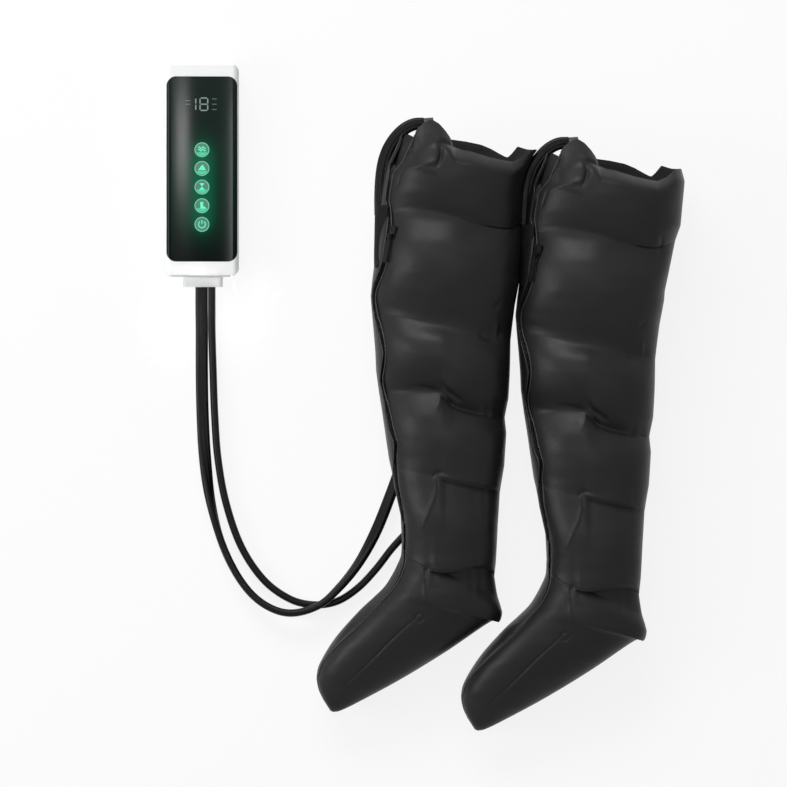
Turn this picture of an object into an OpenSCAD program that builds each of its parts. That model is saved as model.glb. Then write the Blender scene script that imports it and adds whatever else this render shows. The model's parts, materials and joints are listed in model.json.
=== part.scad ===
// Compression therapy pump: a handset with an air pump inside, two flat hoses
// and two six-chamber boots, all lying on one flat surface at z = 0.
// The origin is the centre of the grip pad on the handset's back.
// +Y points to the handset's top end and +Z out of its panel.

/* [Handset case] */
// Width of the handset
case_w = 93; // [86:1:110]
// Length of the handset
case_l = 267; // [262:1:300]
// Height of the handset's panel above the surface
case_top = 46; // [46:1:56]
// Corner radius seen from the front
corner_r = 12; // [9:0.5:18]
// Radius along the front's long edges
front_edge_r = 8; // [7:0.5:10]
// Radius along the back's edges
back_edge_r = 4; // [3:0.5:4.5]
// Wall thickness of both casings
wall = 2.2; // [1.8:0.1:2.8]
// Height of the joint line between the casings
split_z = 24; // [23:0.5:27]

/* [Grip pad] */
// Width of the pad on the back
pad_w = 54; // [40:1:60]
// Length of the pad on the back
pad_l = 190; // [150:1:220]
// How far the pad stands out of the back
pad_proud = 0.5; // [0.3:0.1:1]
// Thickness of the pad
pad_t = 1.3; // [1:0.1:1.6]

/* [Panel and keys] */
// Length of the gloss panel
panel_l = 231.5; // [222:0.5:240]
// Thickness of the gloss panel
panel_t = 2.4; // [2:0.1:3]
// White margin beside the panel
panel_margin = 2.25; // [1:0.05:3]
// Shift of the panel along the case
panel_y = 1; // [-4:0.5:4]
// Corner radius of the panel
panel_r = 12; // [8:0.5:14]
// Diameter of a key cap
key_d = 19; // [15:0.5:20]
// Distance between keys
key_pitch = 23.3; // [23:0.1:25]
// Place of the top key along the case
key_top_y = 25; // [20:1:30]
// How far a key travels
key_travel = 0.8; // [0.4:0.1:1]
// Width of the display
display_w = 42; // [34:1:48]
// Height of the display
display_h = 18; // [14:1:22]
// Place of the display along the case
display_y = 82; // [76:1:88]

/* [Works] */
// Diameter of the pump motor
motor_d = 24; // [20:0.5:26]
// Length of the pump motor
motor_l = 34; // [28:1:36]
// Diameter of a battery cell
cell_d = 18.4; // [16:0.2:18.6]
// Length of a battery cell
cell_l = 65; // [60:1:68]
// Diameter of a valve coil
coil_d = 14; // [12:0.5:15]
// Travel of a valve plunger
valve_travel = 1.2; // [0.8:0.1:2]
// Thickness of the main board
board_t = 1.6; // [1.2:0.1:2]
// Hole of the charger socket
jack_d = 5.7; // [5:0.1:6]

/* [Hose plug] */
// Width of the plug
plug_w = 49.5; // [48:0.5:56]
// Visible length of the plug
plug_l = 12.4; // [10:0.2:20]
// Thickness of the plug
plug_t = 20; // [17:0.5:21]
// Shift of the plug from the case's centre line
plug_x = 2; // [0:0.5:3]
// Distance between the air nipples
nipple_pitch = 7; // [6.9:0.1:7.2]
// Outer diameter of a nipple
nipple_d = 4.6; // [4:0.1:4.8]
// Length of a nipple
nipple_l = 13.5; // [10:0.5:14]

/* [Hoses] */
// Width of the flat hose
hose_w = 15.6; // [12:0.2:16]
// Thickness of the flat hose
hose_t = 9.4; // [7:0.2:9.6]

/* [Boots] */
// Wall of an inflated chamber at its crown
chamber_wall = 14; // [10:0.5:16]
// Wall at a weld between two chambers
weld_wall = 7; // [5:0.5:9]
// Slant of the mouth: how much lower its upper lip lies
mouth_rake = 10; // [0:1:14]
// Shift from the left boot to the right boot, across
pair_dx = 181.25; // [181:0.25:230]
// Shift from the left boot to the right boot, along
pair_dy = -23.75; // [-24:0.25:-20]
// Width of the zip tape
zip_w = 20; // [16:1:24]
// Thickness of the zip tape
zip_t = 6; // [5:0.5:7]
// Length of the zip slider
slider_l = 18; // [14:1:22]
// Width of the zip slider
slider_w = 11; // [9:0.5:14]
// Length of the zip puller
puller_l = 28; // [18:1:32]

/* [Hidden] */
$fn = 48;

// Colours
white_abs = [0.93, 0.94, 0.94];
gloss_black = [0.06, 0.09, 0.08];
key_green = [0.24, 0.94, 0.69];
board_green = [0.10, 0.35, 0.18];
dark_plastic = [0.15, 0.15, 0.16];
steel = [0.70, 0.71, 0.73];
silicone = [0.80, 0.82, 0.82];
hose_black = [0.07, 0.07, 0.07];
boot_black = [0.17, 0.165, 0.165];
zip_black = [0.05, 0.05, 0.05];

// Clearances
fit_gap = 0.1;
slide_gap = 0.3;
e = 0.01;

// How far a cut runs past the face that it opens
past = 1;

// Case: levels and ends
case_back = pad_proud;
floor_z = case_back + wall;
end_y = case_l / 2;
end_edge_r = 3;
end_back_r = 1;
inner_edge_min = 0.5;
inner_end_min = 0.2;
panel_w = case_w - 2 * panel_margin;
panel_lip = 2;
panel_low_z = case_top - front_edge_r + panel_lip;
panel_under = case_top - panel_t;
web_low = panel_under - wall;
cavity_r = front_edge_r - 1.5;
pad_r = 8;

// Board stack, hung from the front casing
board_drop = 5.4;
board_top = web_low - board_drop;
board_low = board_top - board_t;
board_w = 72;
board_y0 = -80;
board_y1 = 104;
key_count = 5;
key_flange_d = 22;
key_flange_t = 1.6;
key_flange_gap = 0.4;
key_mat_gap = 0.2;
mat_top = web_low - key_flange_gap - key_flange_t - key_travel - key_mat_gap;
mat_w = 24;
mat_r = 5;
key_hole_gap = 0.5;
light_size = [3, 2, 1.2];
light_out = 4.5;
buzzer_spot = [26, 54];
buzzer_d = 12;
buzzer_t = 4.5;
buzzer_hole_d = 2;
buzzer_hole_t = 1;
chip_spots = [[-28, -16, 82, 94], [10, 17, 86, 93], [-4, 4, 60, 72]];
chip_t = 1.3;
board_screw_x = 32;
board_screw_ys = [board_y0 + 6, board_y1 - 5];
board_screw_d = 2;
board_boss_d = 6;
board_head_d = 4.4;
board_head_t = 1.6;
board_screw_grip = 4;
board_hole_grip = 4.5;

// Case screws
case_screw_x = case_w / 2 - 9;
case_screw_y = case_l / 2 - 15.5;
case_screw_d = 3;
case_head_d = 6;
case_head_t = 2;
case_head_z = case_back + 1;
case_boss_d = 9;
case_screw_grip = 10;
case_hole_grip = 12;
screw_hex = 2.6;
screw_hex_t = 1;

// Pump
pump_x = -10;
pump_z = floor_z + 16.5;
head_y0 = 2;
head_l = 30;
head_x0 = -32;
head_x1 = 26;
head_top = board_low - 1.5;
shaft_d = 2.4;
eccentric_d = 14;
eccentric_shift = 2;
eccentric_t = 8;
head_wall = 5;
shaft_out = 2;
shaft_hole_gap = 1;
chamber_bore_d = 22;
chamber_gap = 3;
cradle_w = 30;
cradle_end = 5;
cradle_drop = 3;
delivery_x = 20;
delivery_z = 26;
delivery_l = 14;
tube_d = 4.6;
tube_bore = tube_d - 1.6;

// Valves and manifold
manifold_w = 56;
manifold_y0 = -76;
manifold_y1 = -56;
manifold_top = 21;
coil_x = 20;
coil_l = 20;
plunger_d = 5;
plunger_seat = 4.5;
plunger_stop = 1.3;
plunger_l = coil_l + plunger_seat - plunger_stop - valve_travel;
plunger_bore_l = plunger_seat + 2.5;
tower_d = 8;
tower_wall = 3;
tower_in = 4;
port_l = 6;
sensor_x = -17;
sensor_w = 10;
sensor_t = 5;
sensor_stub_d = 4;
sensor_stub_l = 3;
air_z = 13;

// Air socket and plug
port_count = 6;
socket_y0 = -end_y + wall + slide_gap;
socket_l = 22;
socket_w = 50;
seal_t = 1.6;
seal_d = 6.6;
tongue_w = 43;
tongue_t = 12;
tongue_r = 3;
plug_r = 4;
nipple_wall = 1;
plug_gap = 0.3;
plug_y = -end_y - plug_gap;
function port_x(i) = plug_x + (i - (port_count - 1) / 2) * nipple_pitch;

// Charger socket
jack_x = 20;
jack_z = 14;
jack_depth = 9.5;
jack_nose_d = 8.6;
jack_block_l = 11;
jack_block_w = 12;
jack_y0 = end_y - wall - jack_block_l;

// Battery, midway between the pump and the charger socket
tray_wall = 3;
tray_floor = 2;
battery_y = (head_y0 + head_l + jack_y0) / 2;
battery_z = floor_z + tray_floor + cell_d / 2;

// Boots: place of the left boot's mouth
boot_x = 326;
boot_y = 25;
left_spot = [boot_x, boot_y, 0];
right_spot = [boot_x + pair_dx, boot_y + pair_dy, 0];

// A station is a slice through the boot: [front x, front y, back x, back y,
// height of its underside, height of its top], in the boot's own millimetres.
// The welds run from the mouth to the ankle, and each crown lies between two welds.
welds = [
    [-55, 30, 94, -3, 0, 150],
    [-93, -80, 85, -89, 7, 138],
    [-115, -195, 60, -233, 7, 131],
    [-106, -299, 52, -333, 7, 121],
    [-91, -395, 46, -429, 19, 118],
    [-77, -498, 39, -540, 22, 110]
];
crowns = [
    [-82, -28, 92, -44, -0.5, 152],
    [-111, -135, 74, -150, -0.5, 150],
    [-111, -250, 58, -278, -0.5, 142],
    [-99, -348, 54, -378, -0.5, 131],
    [-85, -444, 43, -481, 21, 127]
];
// The foot turns away from the leg at the ankle.
foot_stations = [
    [-77, -498, 39, -540, 22, 110],
    [-82, -518, 46, -568, 8, 118],
    [-98, -546, 40, -591, -0.5, 117],
    [-130, -577, -20, -627, -0.5, 106],
    [-158, -609, -75, -661, -0.5, 92],
    [-177, -640, -124, -688, 4, 74],
    [-181, -664, -153, -701, 16, 56]
];
toe_tip = [-172, -694, 34];
inner_toe_tip = [-158, -664, 38];
// Where the right boot's rim hose presses into the left boot's back edge
// (at each weld from the mouth down, then at each crown)
left_give = [[11, 19, 0, 0, 0, 0], [28, 8, 0, 0, 0]];
no_give = [[0, 0, 0, 0, 0, 0], [0, 0, 0, 0, 0]];

around = 28;
crown_steps = [0, 0.1, 0.3, 0.5, 0.7, 0.9, 1];
inner_steps = [0, 0.5, 1];
crown_power = 0.35;

// Zip line: its angle round the slice, and where the straight runs start and end
zip_angle = 145;
zip_run = [0.1, 0.9];
zip_lift = 5;
slider_chamber = 1;
slider_start = 0.16;
slider_gap = 0.4;
puller_pin_d = 2;

// Routes of the hoses: [x, y, z, roll]. Roll 0 lies flat and 90 stands on edge.
left_hose_route = [
    [0.5, -146.2, 13, 0], [0.5, -170, 11, 0], [1, -205, 6, 0], [1, -250, 5, 0],
    [2, -305, 5, 0], [5, -360, 6, 20], [12, -415, 8, 60], [27, -470, 9, 90],
    [50, -515, 12, 90], [77, -543, 18, 90], [110, -555, 24, 90], [146, -546, 25, 90],
    [173, -523, 22, 80], [198, -492, 15, 65], [220, -452, 9, 45], [240, -402, 8, 45],
    [254, -362, 10, 45]
];
right_hose_route = [
    [13.3, -146.2, 13, 90], [13.3, -170, 12, 90], [13.6, -205, 9, 90], [15, -250, 8, 90],
    [17, -305, 8, 90], [21, -360, 8, 90], [31, -416, 8, 90], [50, -471, 8, 90],
    [78, -513, 8, 90], [110, -537, 8, 90], [140, -545, 8, 90], [170, -541, 8, 90],
    [197, -524, 8, 90], [220, -500, 8, 90], [242, -472, 8, 90], [268, -446, 8.2, 80],
    [305, -418, 8.2, 60], [340, -386, 7, 30], [364, -338, 5, 0], [371, -275, 5, 0],
    [373, -215, 5, 0], [377, -165, 5, 0], [392, -120, 5, 0], [418, -80, 8, 0],
    [453, -43, 12, 0]
];
rim_hose_route = [
    [-50, 32, 78, 0], [-63, 31, 78, 0], [-76, 24, 77, 0], [-88, 11, 76, 0],
    [-97, -6, 76, 0], [-102, -27, 76, 0], [-104, -54, 76, 0], [-104, -82, 76, 0]
];
hose_sides = 8;
collar_d = hose_w - 1.6;
rim_collar_l = 12;
low_collar_l = 12;
inlet_collar_l = 16;

// ---------- general shapes ----------

module round_rect(w, l, r) {
    square([w - 2 * r, l], center = true);
    square([w, l - 2 * r], center = true);
    for (x = [-1, 1], y = [-1, 1])
        translate([x * (w / 2 - r), y * (l / 2 - r)])
            circle(r);
}

// A rounded section from z0 to z1 with other radii at its top and its bottom
module section(w, z0, z1, r_top, r_low) {
    translate([-w / 2, z0 + r_low])
        square([w, z1 - z0 - r_top - r_low]);
    translate([-w / 2 + r_top, z0 + r_low])
        square([w - 2 * r_top, z1 - z0 - r_low]);
    translate([-w / 2 + r_low, z0])
        square([w - 2 * r_low, z1 - z0 - r_top]);
    for (s = [-1, 1]) {
        translate([s * (w / 2 - r_top), z1 - r_top])
            circle(r_top);
        translate([s * (w / 2 - r_low), z0 + r_low])
            circle(r_low);
    }
}

module along_y(y0, y1) {
    translate([0, y1, 0])
        rotate([90, 0, 0])
            linear_extrude(y1 - y0)
                children();
}

module block(x0, x1, y0, y1, z0, z1) {
    translate([x0, y0, z0])
        cube([x1 - x0, y1 - y0, z1 - z0]);
}

// A round bar along +Y from y0 to y1
module bar_y(d, x, z, y0, y1) {
    translate([x, y0, z])
        rotate([-90, 0, 0])
            cylinder(d = d, h = y1 - y0);
}

// ---------- handset case ----------

// The case as one solid, drawn in by i on every side
module case_solid(i, top, r_top) {
    intersection() {
        translate([0, 0, case_back])
            linear_extrude(case_top)
                round_rect(case_w - 2 * i, case_l - 2 * i, corner_r - i);
        along_y(-case_l, case_l)
            section(case_w - 2 * i, case_back + i, top, r_top, max(back_edge_r - i, inner_edge_min));
        rotate([0, 0, 90])
            along_y(-case_w, case_w)
                section(case_l - 2 * i, case_back + i, top, end_edge_r,
                        max(end_back_r - i, inner_end_min));
    }
}

module case_outside() {
    case_solid(0, case_top, front_edge_r);
}

module case_inside() {
    case_solid(wall, web_low, cavity_r);
}

// The space that the gloss panel fills, grown by a gap
module panel_space(gap) {
    difference() {
        intersection() {
            translate([0, panel_y, panel_low_z - gap])
                linear_extrude(case_top)
                    round_rect(panel_w + 2 * gap, panel_l + 2 * gap, panel_r + gap);
            along_y(-case_l, case_l)
                section(case_w, case_back, case_top, front_edge_r, back_edge_r);
        }
        along_y(-case_l, case_l)
            section(case_w - 2 * (panel_t + gap), case_back, panel_under - gap,
                    front_edge_r - panel_t - gap, back_edge_r);
    }
}

module at_case_screws() {
    for (x = [-1, 1], y = [-1, 1])
        translate([x * case_screw_x, y * case_screw_y, 0])
            children();
}

module at_board_screws() {
    for (x = [-1, 1], y = board_screw_ys)
        translate([x * board_screw_x, y, 0])
            children();
}

module at_keys() {
    for (i = [0 : key_count - 1])
        translate([0, key_top_y - i * key_pitch, 0])
            children();
}

module rear_casing() {
    color(white_abs)
    difference() {
        union() {
            difference() {
                intersection() {
                    case_outside();
                    block(-case_w, case_w, -case_l, case_l, 0, split_z);
                }
                case_inside();
            }
            at_case_screws()
                translate([0, 0, case_back + e])
                    cylinder(d = case_boss_d, h = split_z - case_back - e);
        }
        translate([0, 0, -past])
            linear_extrude(past + pad_t + fit_gap)
                round_rect(pad_w + 2 * fit_gap, pad_l + 2 * fit_gap, pad_r);
        at_case_screws() {
            cylinder(d = case_screw_d + 2 * slide_gap, h = split_z + past);
            cylinder(d = case_head_d + 2 * slide_gap, h = case_head_z + case_head_t);
        }
        along_y(-end_y - past, -end_y + wall + past)
            translate([plug_x, air_z])
                round_rect(tongue_w + 2 * plug_gap, tongue_t + 2 * plug_gap, tongue_r);
        bar_y(jack_nose_d + 2 * fit_gap, jack_x, jack_z, end_y - wall - past, end_y + past);
    }
}

module front_casing() {
    color(white_abs)
    difference() {
        union() {
            difference() {
                intersection() {
                    case_outside();
                    block(-case_w, case_w, -case_l, case_l, split_z, case_top + past);
                }
                case_inside();
            }
            at_case_screws()
                translate([0, 0, split_z])
                    cylinder(d = case_boss_d, h = web_low - split_z + e);
            at_board_screws()
                translate([0, 0, board_top])
                    cylinder(d = board_boss_d, h = web_low - board_top + e);
        }
        panel_space(fit_gap);
        at_keys()
            translate([0, 0, web_low - past])
                cylinder(d = key_d + 2 * key_hole_gap, h = case_top);
        translate([-display_w / 2 - fit_gap, display_y - display_h / 2 - fit_gap, web_low - past])
            cube([display_w + 2 * fit_gap, display_h + 2 * fit_gap, case_top]);
        at_case_screws()
            translate([0, 0, split_z - past])
                cylinder(d = case_screw_d + 2 * fit_gap, h = case_hole_grip + past);
        at_board_screws()
            translate([0, 0, board_top - past])
                cylinder(d = board_screw_d + 2 * fit_gap, h = board_hole_grip + past);
    }
}

module gloss_panel() {
    color(gloss_black)
    difference() {
        panel_space(0);
        at_keys()
            translate([0, 0, panel_under - past])
                cylinder(d = key_d + 2 * slide_gap, h = case_top);
    }
}

// A key cap, number i from the top
module key_cap(i) {
    color(key_green)
    translate([0, key_top_y - i * key_pitch, 0]) {
        translate([0, 0, web_low - key_flange_gap - e])
            cylinder(d = key_d, h = case_top - web_low + key_flange_gap + e);
        translate([0, 0, web_low - key_flange_gap - key_flange_t])
            cylinder(d = key_flange_d, h = key_flange_t);
    }
}

module mode_key() {
    key_cap(0);
}

module pressure_key() {
    key_cap(1);
}

module timer_key() {
    key_cap(2);
}

module zone_key() {
    key_cap(3);
}

module power_key() {
    key_cap(4);
}

module key_mat() {
    mid = key_top_y - (key_count - 1) * key_pitch / 2;
    color(silicone)
    translate([0, mid, board_top])
        linear_extrude(mat_top - board_top)
            round_rect(mat_w, key_count * key_pitch, mat_r);
}

module main_board() {
    color(board_green)
    difference() {
        union() {
            block(-board_w / 2, board_w / 2, board_y0, board_y1, board_low, board_top);
            for (c = chip_spots)
                block(c[0], c[1], c[2], c[3], board_low - chip_t, board_low + e);
        }
        at_board_screws()
            translate([0, 0, board_low - past])
                cylinder(d = board_screw_d + 2 * fit_gap, h = board_t + 2 * past);
    }
}

module display() {
    color(dark_plastic)
    translate([-display_w / 2, display_y - display_h / 2, board_top])
        cube([display_w, display_h, panel_under - board_top - fit_gap]);
}

module key_lights() {
    color("white")
    at_keys()
        for (s = [-1, 1])
            translate([s * (mat_w / 2 + light_out) - light_size[0] / 2, -light_size[1] / 2, board_top])
                cube(light_size);
}

module buzzer() {
    color(dark_plastic)
    translate([buzzer_spot[0], buzzer_spot[1], board_top])
        difference() {
            cylinder(d = buzzer_d, h = buzzer_t);
            translate([0, 0, buzzer_t - buzzer_hole_t])
                cylinder(d = buzzer_hole_d, h = buzzer_hole_t + past);
        }
}

module battery_pack() {
    color([0.15, 0.35, 0.65]) {
        for (s = [-1, 1])
            bar_y(cell_d, s * cell_d / 2, battery_z, battery_y - cell_l / 2, battery_y + cell_l / 2);
        block(-cell_d / 2, cell_d / 2, battery_y - cell_l / 2, battery_y + cell_l / 2,
              battery_z - cell_d / 2, battery_z + cell_d / 2);
    }
}

module battery_tray() {
    color(dark_plastic)
    difference() {
        block(-cell_d - tray_wall, cell_d + tray_wall, battery_y - cell_l / 2 - tray_wall,
              battery_y + cell_l / 2 + tray_wall, floor_z, battery_z);
        for (s = [-1, 1])
            bar_y(cell_d + 2 * fit_gap, s * cell_d / 2, battery_z,
                  battery_y - cell_l / 2 - fit_gap, battery_y + cell_l / 2 + fit_gap);
        block(-cell_d / 2, cell_d / 2, battery_y - cell_l / 2 - fit_gap,
              battery_y + cell_l / 2 + fit_gap, battery_z - cell_d / 2 - fit_gap,
              battery_z + past);
    }
}

// ---------- pump and valves ----------

module pump_head() {
    color(dark_plastic)
    difference() {
        block(head_x0, head_x1, head_y0, head_y0 + head_l, floor_z, head_top);
        bar_y(chamber_bore_d, pump_x, pump_z, head_y0 + head_wall, head_y0 + head_l - head_wall);
        bar_y(shaft_d + 2 * shaft_hole_gap, pump_x, pump_z, head_y0 - past, head_y0 + head_wall + past);
        bar_y(tube_bore, delivery_x, delivery_z, head_y0 - past, head_y0 + delivery_l);
    }
}

module pump_motor() {
    color(steel)
    difference() {
        bar_y(motor_d, pump_x, pump_z, head_y0 - motor_l, head_y0);
        bar_y(shaft_d + fit_gap, pump_x, pump_z, head_y0 - motor_l - past, head_y0 + past);
    }
}

module pump_rotor() {
    eccentric_y = head_y0 + head_wall + chamber_gap;
    color(steel) {
        bar_y(shaft_d, pump_x, pump_z, head_y0 - motor_l - shaft_out, eccentric_y);
        bar_y(eccentric_d, pump_x + eccentric_shift, pump_z, eccentric_y, eccentric_y + eccentric_t);
    }
}

module pump_cradle() {
    color(silicone)
    difference() {
        block(pump_x - cradle_w / 2, pump_x + cradle_w / 2, head_y0 - motor_l + cradle_end,
              head_y0 - cradle_end, floor_z, pump_z - cradle_drop);
        bar_y(motor_d + 2 * fit_gap, pump_x, pump_z, head_y0 - motor_l, head_y0);
    }
}

module valve_manifold() {
    color(white_abs)
    difference() {
        union() {
            block(-manifold_w / 2, manifold_w / 2, manifold_y0, manifold_y1, floor_z, manifold_top);
            translate([delivery_x, manifold_y1 - tower_in, manifold_top - e])
                cylinder(d = tower_d, h = delivery_z + tower_wall - manifold_top);
        }
        for (s = [-1, 1])
            bar_y(plunger_d + 2 * slide_gap, s * coil_x, air_z, manifold_y1 - plunger_bore_l,
                  manifold_y1 + past);
        for (i = [0 : port_count - 1])
            bar_y(tube_bore, port_x(i), air_z, manifold_y0 - past, manifold_y0 + port_l);
    }
}

module valve_coils() {
    color([0.72, 0.40, 0.20])
    for (s = [-1, 1])
        difference() {
            bar_y(coil_d, s * coil_x, air_z, manifold_y1, manifold_y1 + coil_l);
            bar_y(plunger_d + 2 * slide_gap, s * coil_x, air_z, manifold_y1 - past,
                  manifold_y1 + coil_l + past);
        }
}

module valve_plunger(side) {
    color(steel)
    bar_y(plunger_d, side * coil_x, air_z, manifold_y1 - plunger_seat,
          manifold_y1 - plunger_seat + plunger_l);
}

module left_valve_plunger() {
    valve_plunger(-1);
}

module right_valve_plunger() {
    valve_plunger(1);
}

module air_tubes() {
    color(silicone) {
        for (i = [0 : port_count - 1])
            difference() {
                bar_y(tube_d, port_x(i), air_z, socket_y0 + socket_l, manifold_y0);
                bar_y(tube_bore, port_x(i), air_z, socket_y0 + socket_l - past, manifold_y0 + past);
            }
        difference() {
            bar_y(tube_d, delivery_x, delivery_z, manifold_y1, head_y0);
            bar_y(tube_bore, delivery_x, delivery_z, manifold_y1 - past, head_y0 + past);
        }
    }
}

module pressure_sensor() {
    sensor_y = (manifold_y0 + manifold_y1) / 2;
    color(dark_plastic) {
        block(sensor_x - sensor_w / 2, sensor_x + sensor_w / 2, sensor_y - sensor_w / 2,
              sensor_y + sensor_w / 2, manifold_top, manifold_top + sensor_t);
        translate([sensor_x, sensor_y, manifold_top + sensor_t - e])
            cylinder(d = sensor_stub_d, h = sensor_stub_l);
    }
}

module charge_socket() {
    color(dark_plastic)
    difference() {
        union() {
            block(jack_x - jack_block_w / 2, jack_x + jack_block_w / 2, jack_y0,
                  end_y - wall - slide_gap, floor_z, jack_z + jack_block_w / 2);
            bar_y(jack_nose_d, jack_x, jack_z, end_y - wall - past, end_y);
        }
        bar_y(jack_d, jack_x, jack_z, end_y - jack_depth, end_y + past);
    }
}

module air_socket() {
    color(white_abs)
    difference() {
        block(plug_x - socket_w / 2, plug_x + socket_w / 2, socket_y0, socket_y0 + socket_l,
              floor_z, manifold_top);
        for (i = [0 : port_count - 1]) {
            bar_y(nipple_d + 2 * slide_gap, port_x(i), air_z, socket_y0 - past,
                  socket_y0 + nipple_l + past);
            bar_y(seal_d + 2 * fit_gap, port_x(i), air_z, socket_y0 - past,
                  socket_y0 + seal_t + fit_gap);
            bar_y(tube_bore, port_x(i), air_z, socket_y0 + past, socket_y0 + socket_l + past);
        }
    }
}

module socket_seals() {
    color(hose_black)
    for (i = [0 : port_count - 1])
        difference() {
            bar_y(seal_d, port_x(i), air_z, socket_y0, socket_y0 + seal_t);
            bar_y(nipple_d + 2 * slide_gap, port_x(i), air_z, socket_y0 - past,
                  socket_y0 + seal_t + past);
        }
}

module case_screws() {
    color(steel)
    at_case_screws()
        difference() {
            union() {
                translate([0, 0, case_head_z])
                    cylinder(d = case_head_d, h = case_head_t);
                translate([0, 0, case_head_z + case_head_t - e])
                    cylinder(d = case_screw_d,
                             h = split_z + case_screw_grip - case_head_z - case_head_t);
            }
            translate([0, 0, case_head_z - past])
                cylinder(d = screw_hex, h = past + screw_hex_t, $fn = 6);
        }
}

module board_screws() {
    color(steel)
    at_board_screws() {
        translate([0, 0, board_low - board_head_t])
            cylinder(d = board_head_d, h = board_head_t);
        translate([0, 0, board_low - e])
            cylinder(d = board_screw_d, h = board_t + board_screw_grip);
    }
}

module grip_pad() {
    color(dark_plastic)
    linear_extrude(pad_t)
        round_rect(pad_w, pad_l, pad_r);
}

// ---------- plug and hoses ----------

module plug_body() {
    color(white_abs) {
        along_y(plug_y - plug_l, plug_y)
            translate([plug_x, air_z])
                round_rect(plug_w, plug_t, plug_r);
        along_y(plug_y - e, socket_y0 - plug_gap)
            translate([plug_x, air_z])
                round_rect(tongue_w, tongue_t, tongue_r);
    }
}

module plug_nipples() {
    color(steel)
    for (i = [0 : port_count - 1])
        difference() {
            bar_y(nipple_d, port_x(i), air_z, socket_y0 - plug_gap, socket_y0 + nipple_l);
            bar_y(nipple_d - 2 * nipple_wall, port_x(i), air_z, socket_y0 - plug_gap + nipple_wall,
                  socket_y0 + nipple_l + past);
        }
}

function unit(v) = v / norm(v);
function spot(p) = [p[0], p[1], p[2]];

// Direction of travel along a route at point i
function heading(route, i) =
    unit(spot(route[min(i + 1, len(route) - 1)]) - spot(route[max(i - 1, 0)]));

// One ring of a flat hose at point i of its route
function hose_ring(route, i) =
    let (
        d = heading(route, i),
        across = unit(cross(d, [0, 0, 1])),
        up = cross(across, d),
        roll = route[i][3]
    )
    [for (k = [0 : hose_sides - 1])
        let (
            a = 360 * (k + 0.5) / hose_sides,
            u = cos(a) * hose_w / 2 / cos(180 / hose_sides),
            v = sin(a) * hose_t / 2 / cos(180 / hose_sides)
        )
        spot(route[i]) + across * (u * cos(roll) - v * sin(roll)) + up * (u * sin(roll) + v * cos(roll))];

// Triangles of a strip between ring i and ring i + 1, with n points in a ring
function strip(i, n, from, flip) =
    [for (k = [0 : n - 1])
        let (
            a = from + i * n + k,
            b = from + i * n + (k + 1) % n,
            c = a + n,
            d = b + n
        )
        each (flip ? [[a, c, b], [b, c, d]] : [[a, b, c], [b, d, c]])];

function fan(first, n, tip, flip) =
    [for (k = [0 : n - 1])
        let (
            a = first + k,
            b = first + (k + 1) % n
        )
        flip ? [b, a, tip] : [a, b, tip]];

module hose(route) {
    n = hose_sides;
    last = len(route) - 1;
    points = [
        for (i = [0 : last]) each hose_ring(route, i),
        spot(route[0]),
        spot(route[last])
    ];
    faces = [
        for (i = [0 : last - 1]) each strip(i, n, 0, false),
        each fan(0, n, n * (last + 1), true),
        each fan(n * last, n, n * (last + 1) + 1, false)
    ];
    color(hose_black)
    polyhedron(points, faces);
}

module left_hose() {
    hose(left_hose_route);
}

module right_hose() {
    hose(right_hose_route);
}

module left_rim_hose() {
    translate(left_spot)
        hose(rim_hose_route);
}

module right_rim_hose() {
    translate(right_spot)
        hose(rim_hose_route);
}

// ---------- boots ----------

function mix(a, b, t) = a + (b - a) * t;

// A station with its back edge pushed in
function pushed(s, give) = [s[0], s[1], s[2] - give, s[3], s[4], s[5]];

// The station at share u of a chamber: drawn in at its welds, full at its crown
function chamber_station(k, give, u) =
    let (
        a = pushed(welds[k], give[0][k]),
        b = pushed(welds[k + 1], give[0][k + 1]),
        m = pushed(crowns[k], give[1][k]),
        full = pow(sin(180 * u), crown_power)
    )
    mix(a, b, u) + full * (m - mix(a, b, 0.5));

// A point of the station's outline at angle a, drawn in by w
function outline_point(s, a, w, rake) =
    let (
        front = [s[0], s[1]],
        back = [s[2], s[3]],
        middle = (front + back) / 2,
        reach = norm(back - front) / 2,
        side = (back - front) / 2 / reach,
        half = (s[5] - s[4]) / 2,
        z = max((s[4] + s[5]) / 2 + (half - w) * sin(a), w),
        xy = middle + side * (reach - w) * cos(a)
    )
    [xy[0], xy[1] - rake * (z - (s[4] + s[5]) / 2) / half, z];

function outline(s, w, rake) =
    [for (k = [0 : around - 1]) outline_point(s, 360 * k / around, w, rake)];

// The slant of the mouth dies away down the first chamber
function rake_at(k, u) = k == 0 ? mouth_rake * (1 - u) : 0;

function wall_at(u) = mix(weld_wall, chamber_wall, pow(sin(180 * u), crown_power));

// A sleeve from rings of its outside and its inside; a closed end has tips
module sleeve(outer, inner, outer_tip, inner_tip) {
    n = around;
    no = len(outer);
    ni = len(inner);
    closed = len(outer_tip) > 0;
    points = [
        for (r = outer) each r,
        for (r = inner) each r,
        if (closed) outer_tip,
        if (closed) inner_tip
    ];
    first_in = n * no;
    tips = n * (no + ni);
    faces = [
        for (i = [0 : no - 2]) each strip(i, n, 0, true),
        for (i = [0 : ni - 2]) each strip(i, n, first_in, false),
        for (k = [0 : n - 1])
            let (
                a = k,
                b = (k + 1) % n,
                c = first_in + k,
                d = first_in + (k + 1) % n
            )
            each [[a, b, c], [b, d, c]],
        if (!closed)
            for (k = [0 : n - 1])
                let (
                    a = n * (no - 1) + k,
                    b = n * (no - 1) + (k + 1) % n,
                    c = tips - n + k,
                    d = tips - n + (k + 1) % n
                )
                each [[a, c, b], [b, c, d]],
        if (closed) each fan(n * (no - 1), n, tips, true),
        if (closed) each fan(tips - n, n, tips + 1, false)
    ];
    color(boot_black)
    polyhedron(points, faces);
}

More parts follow.
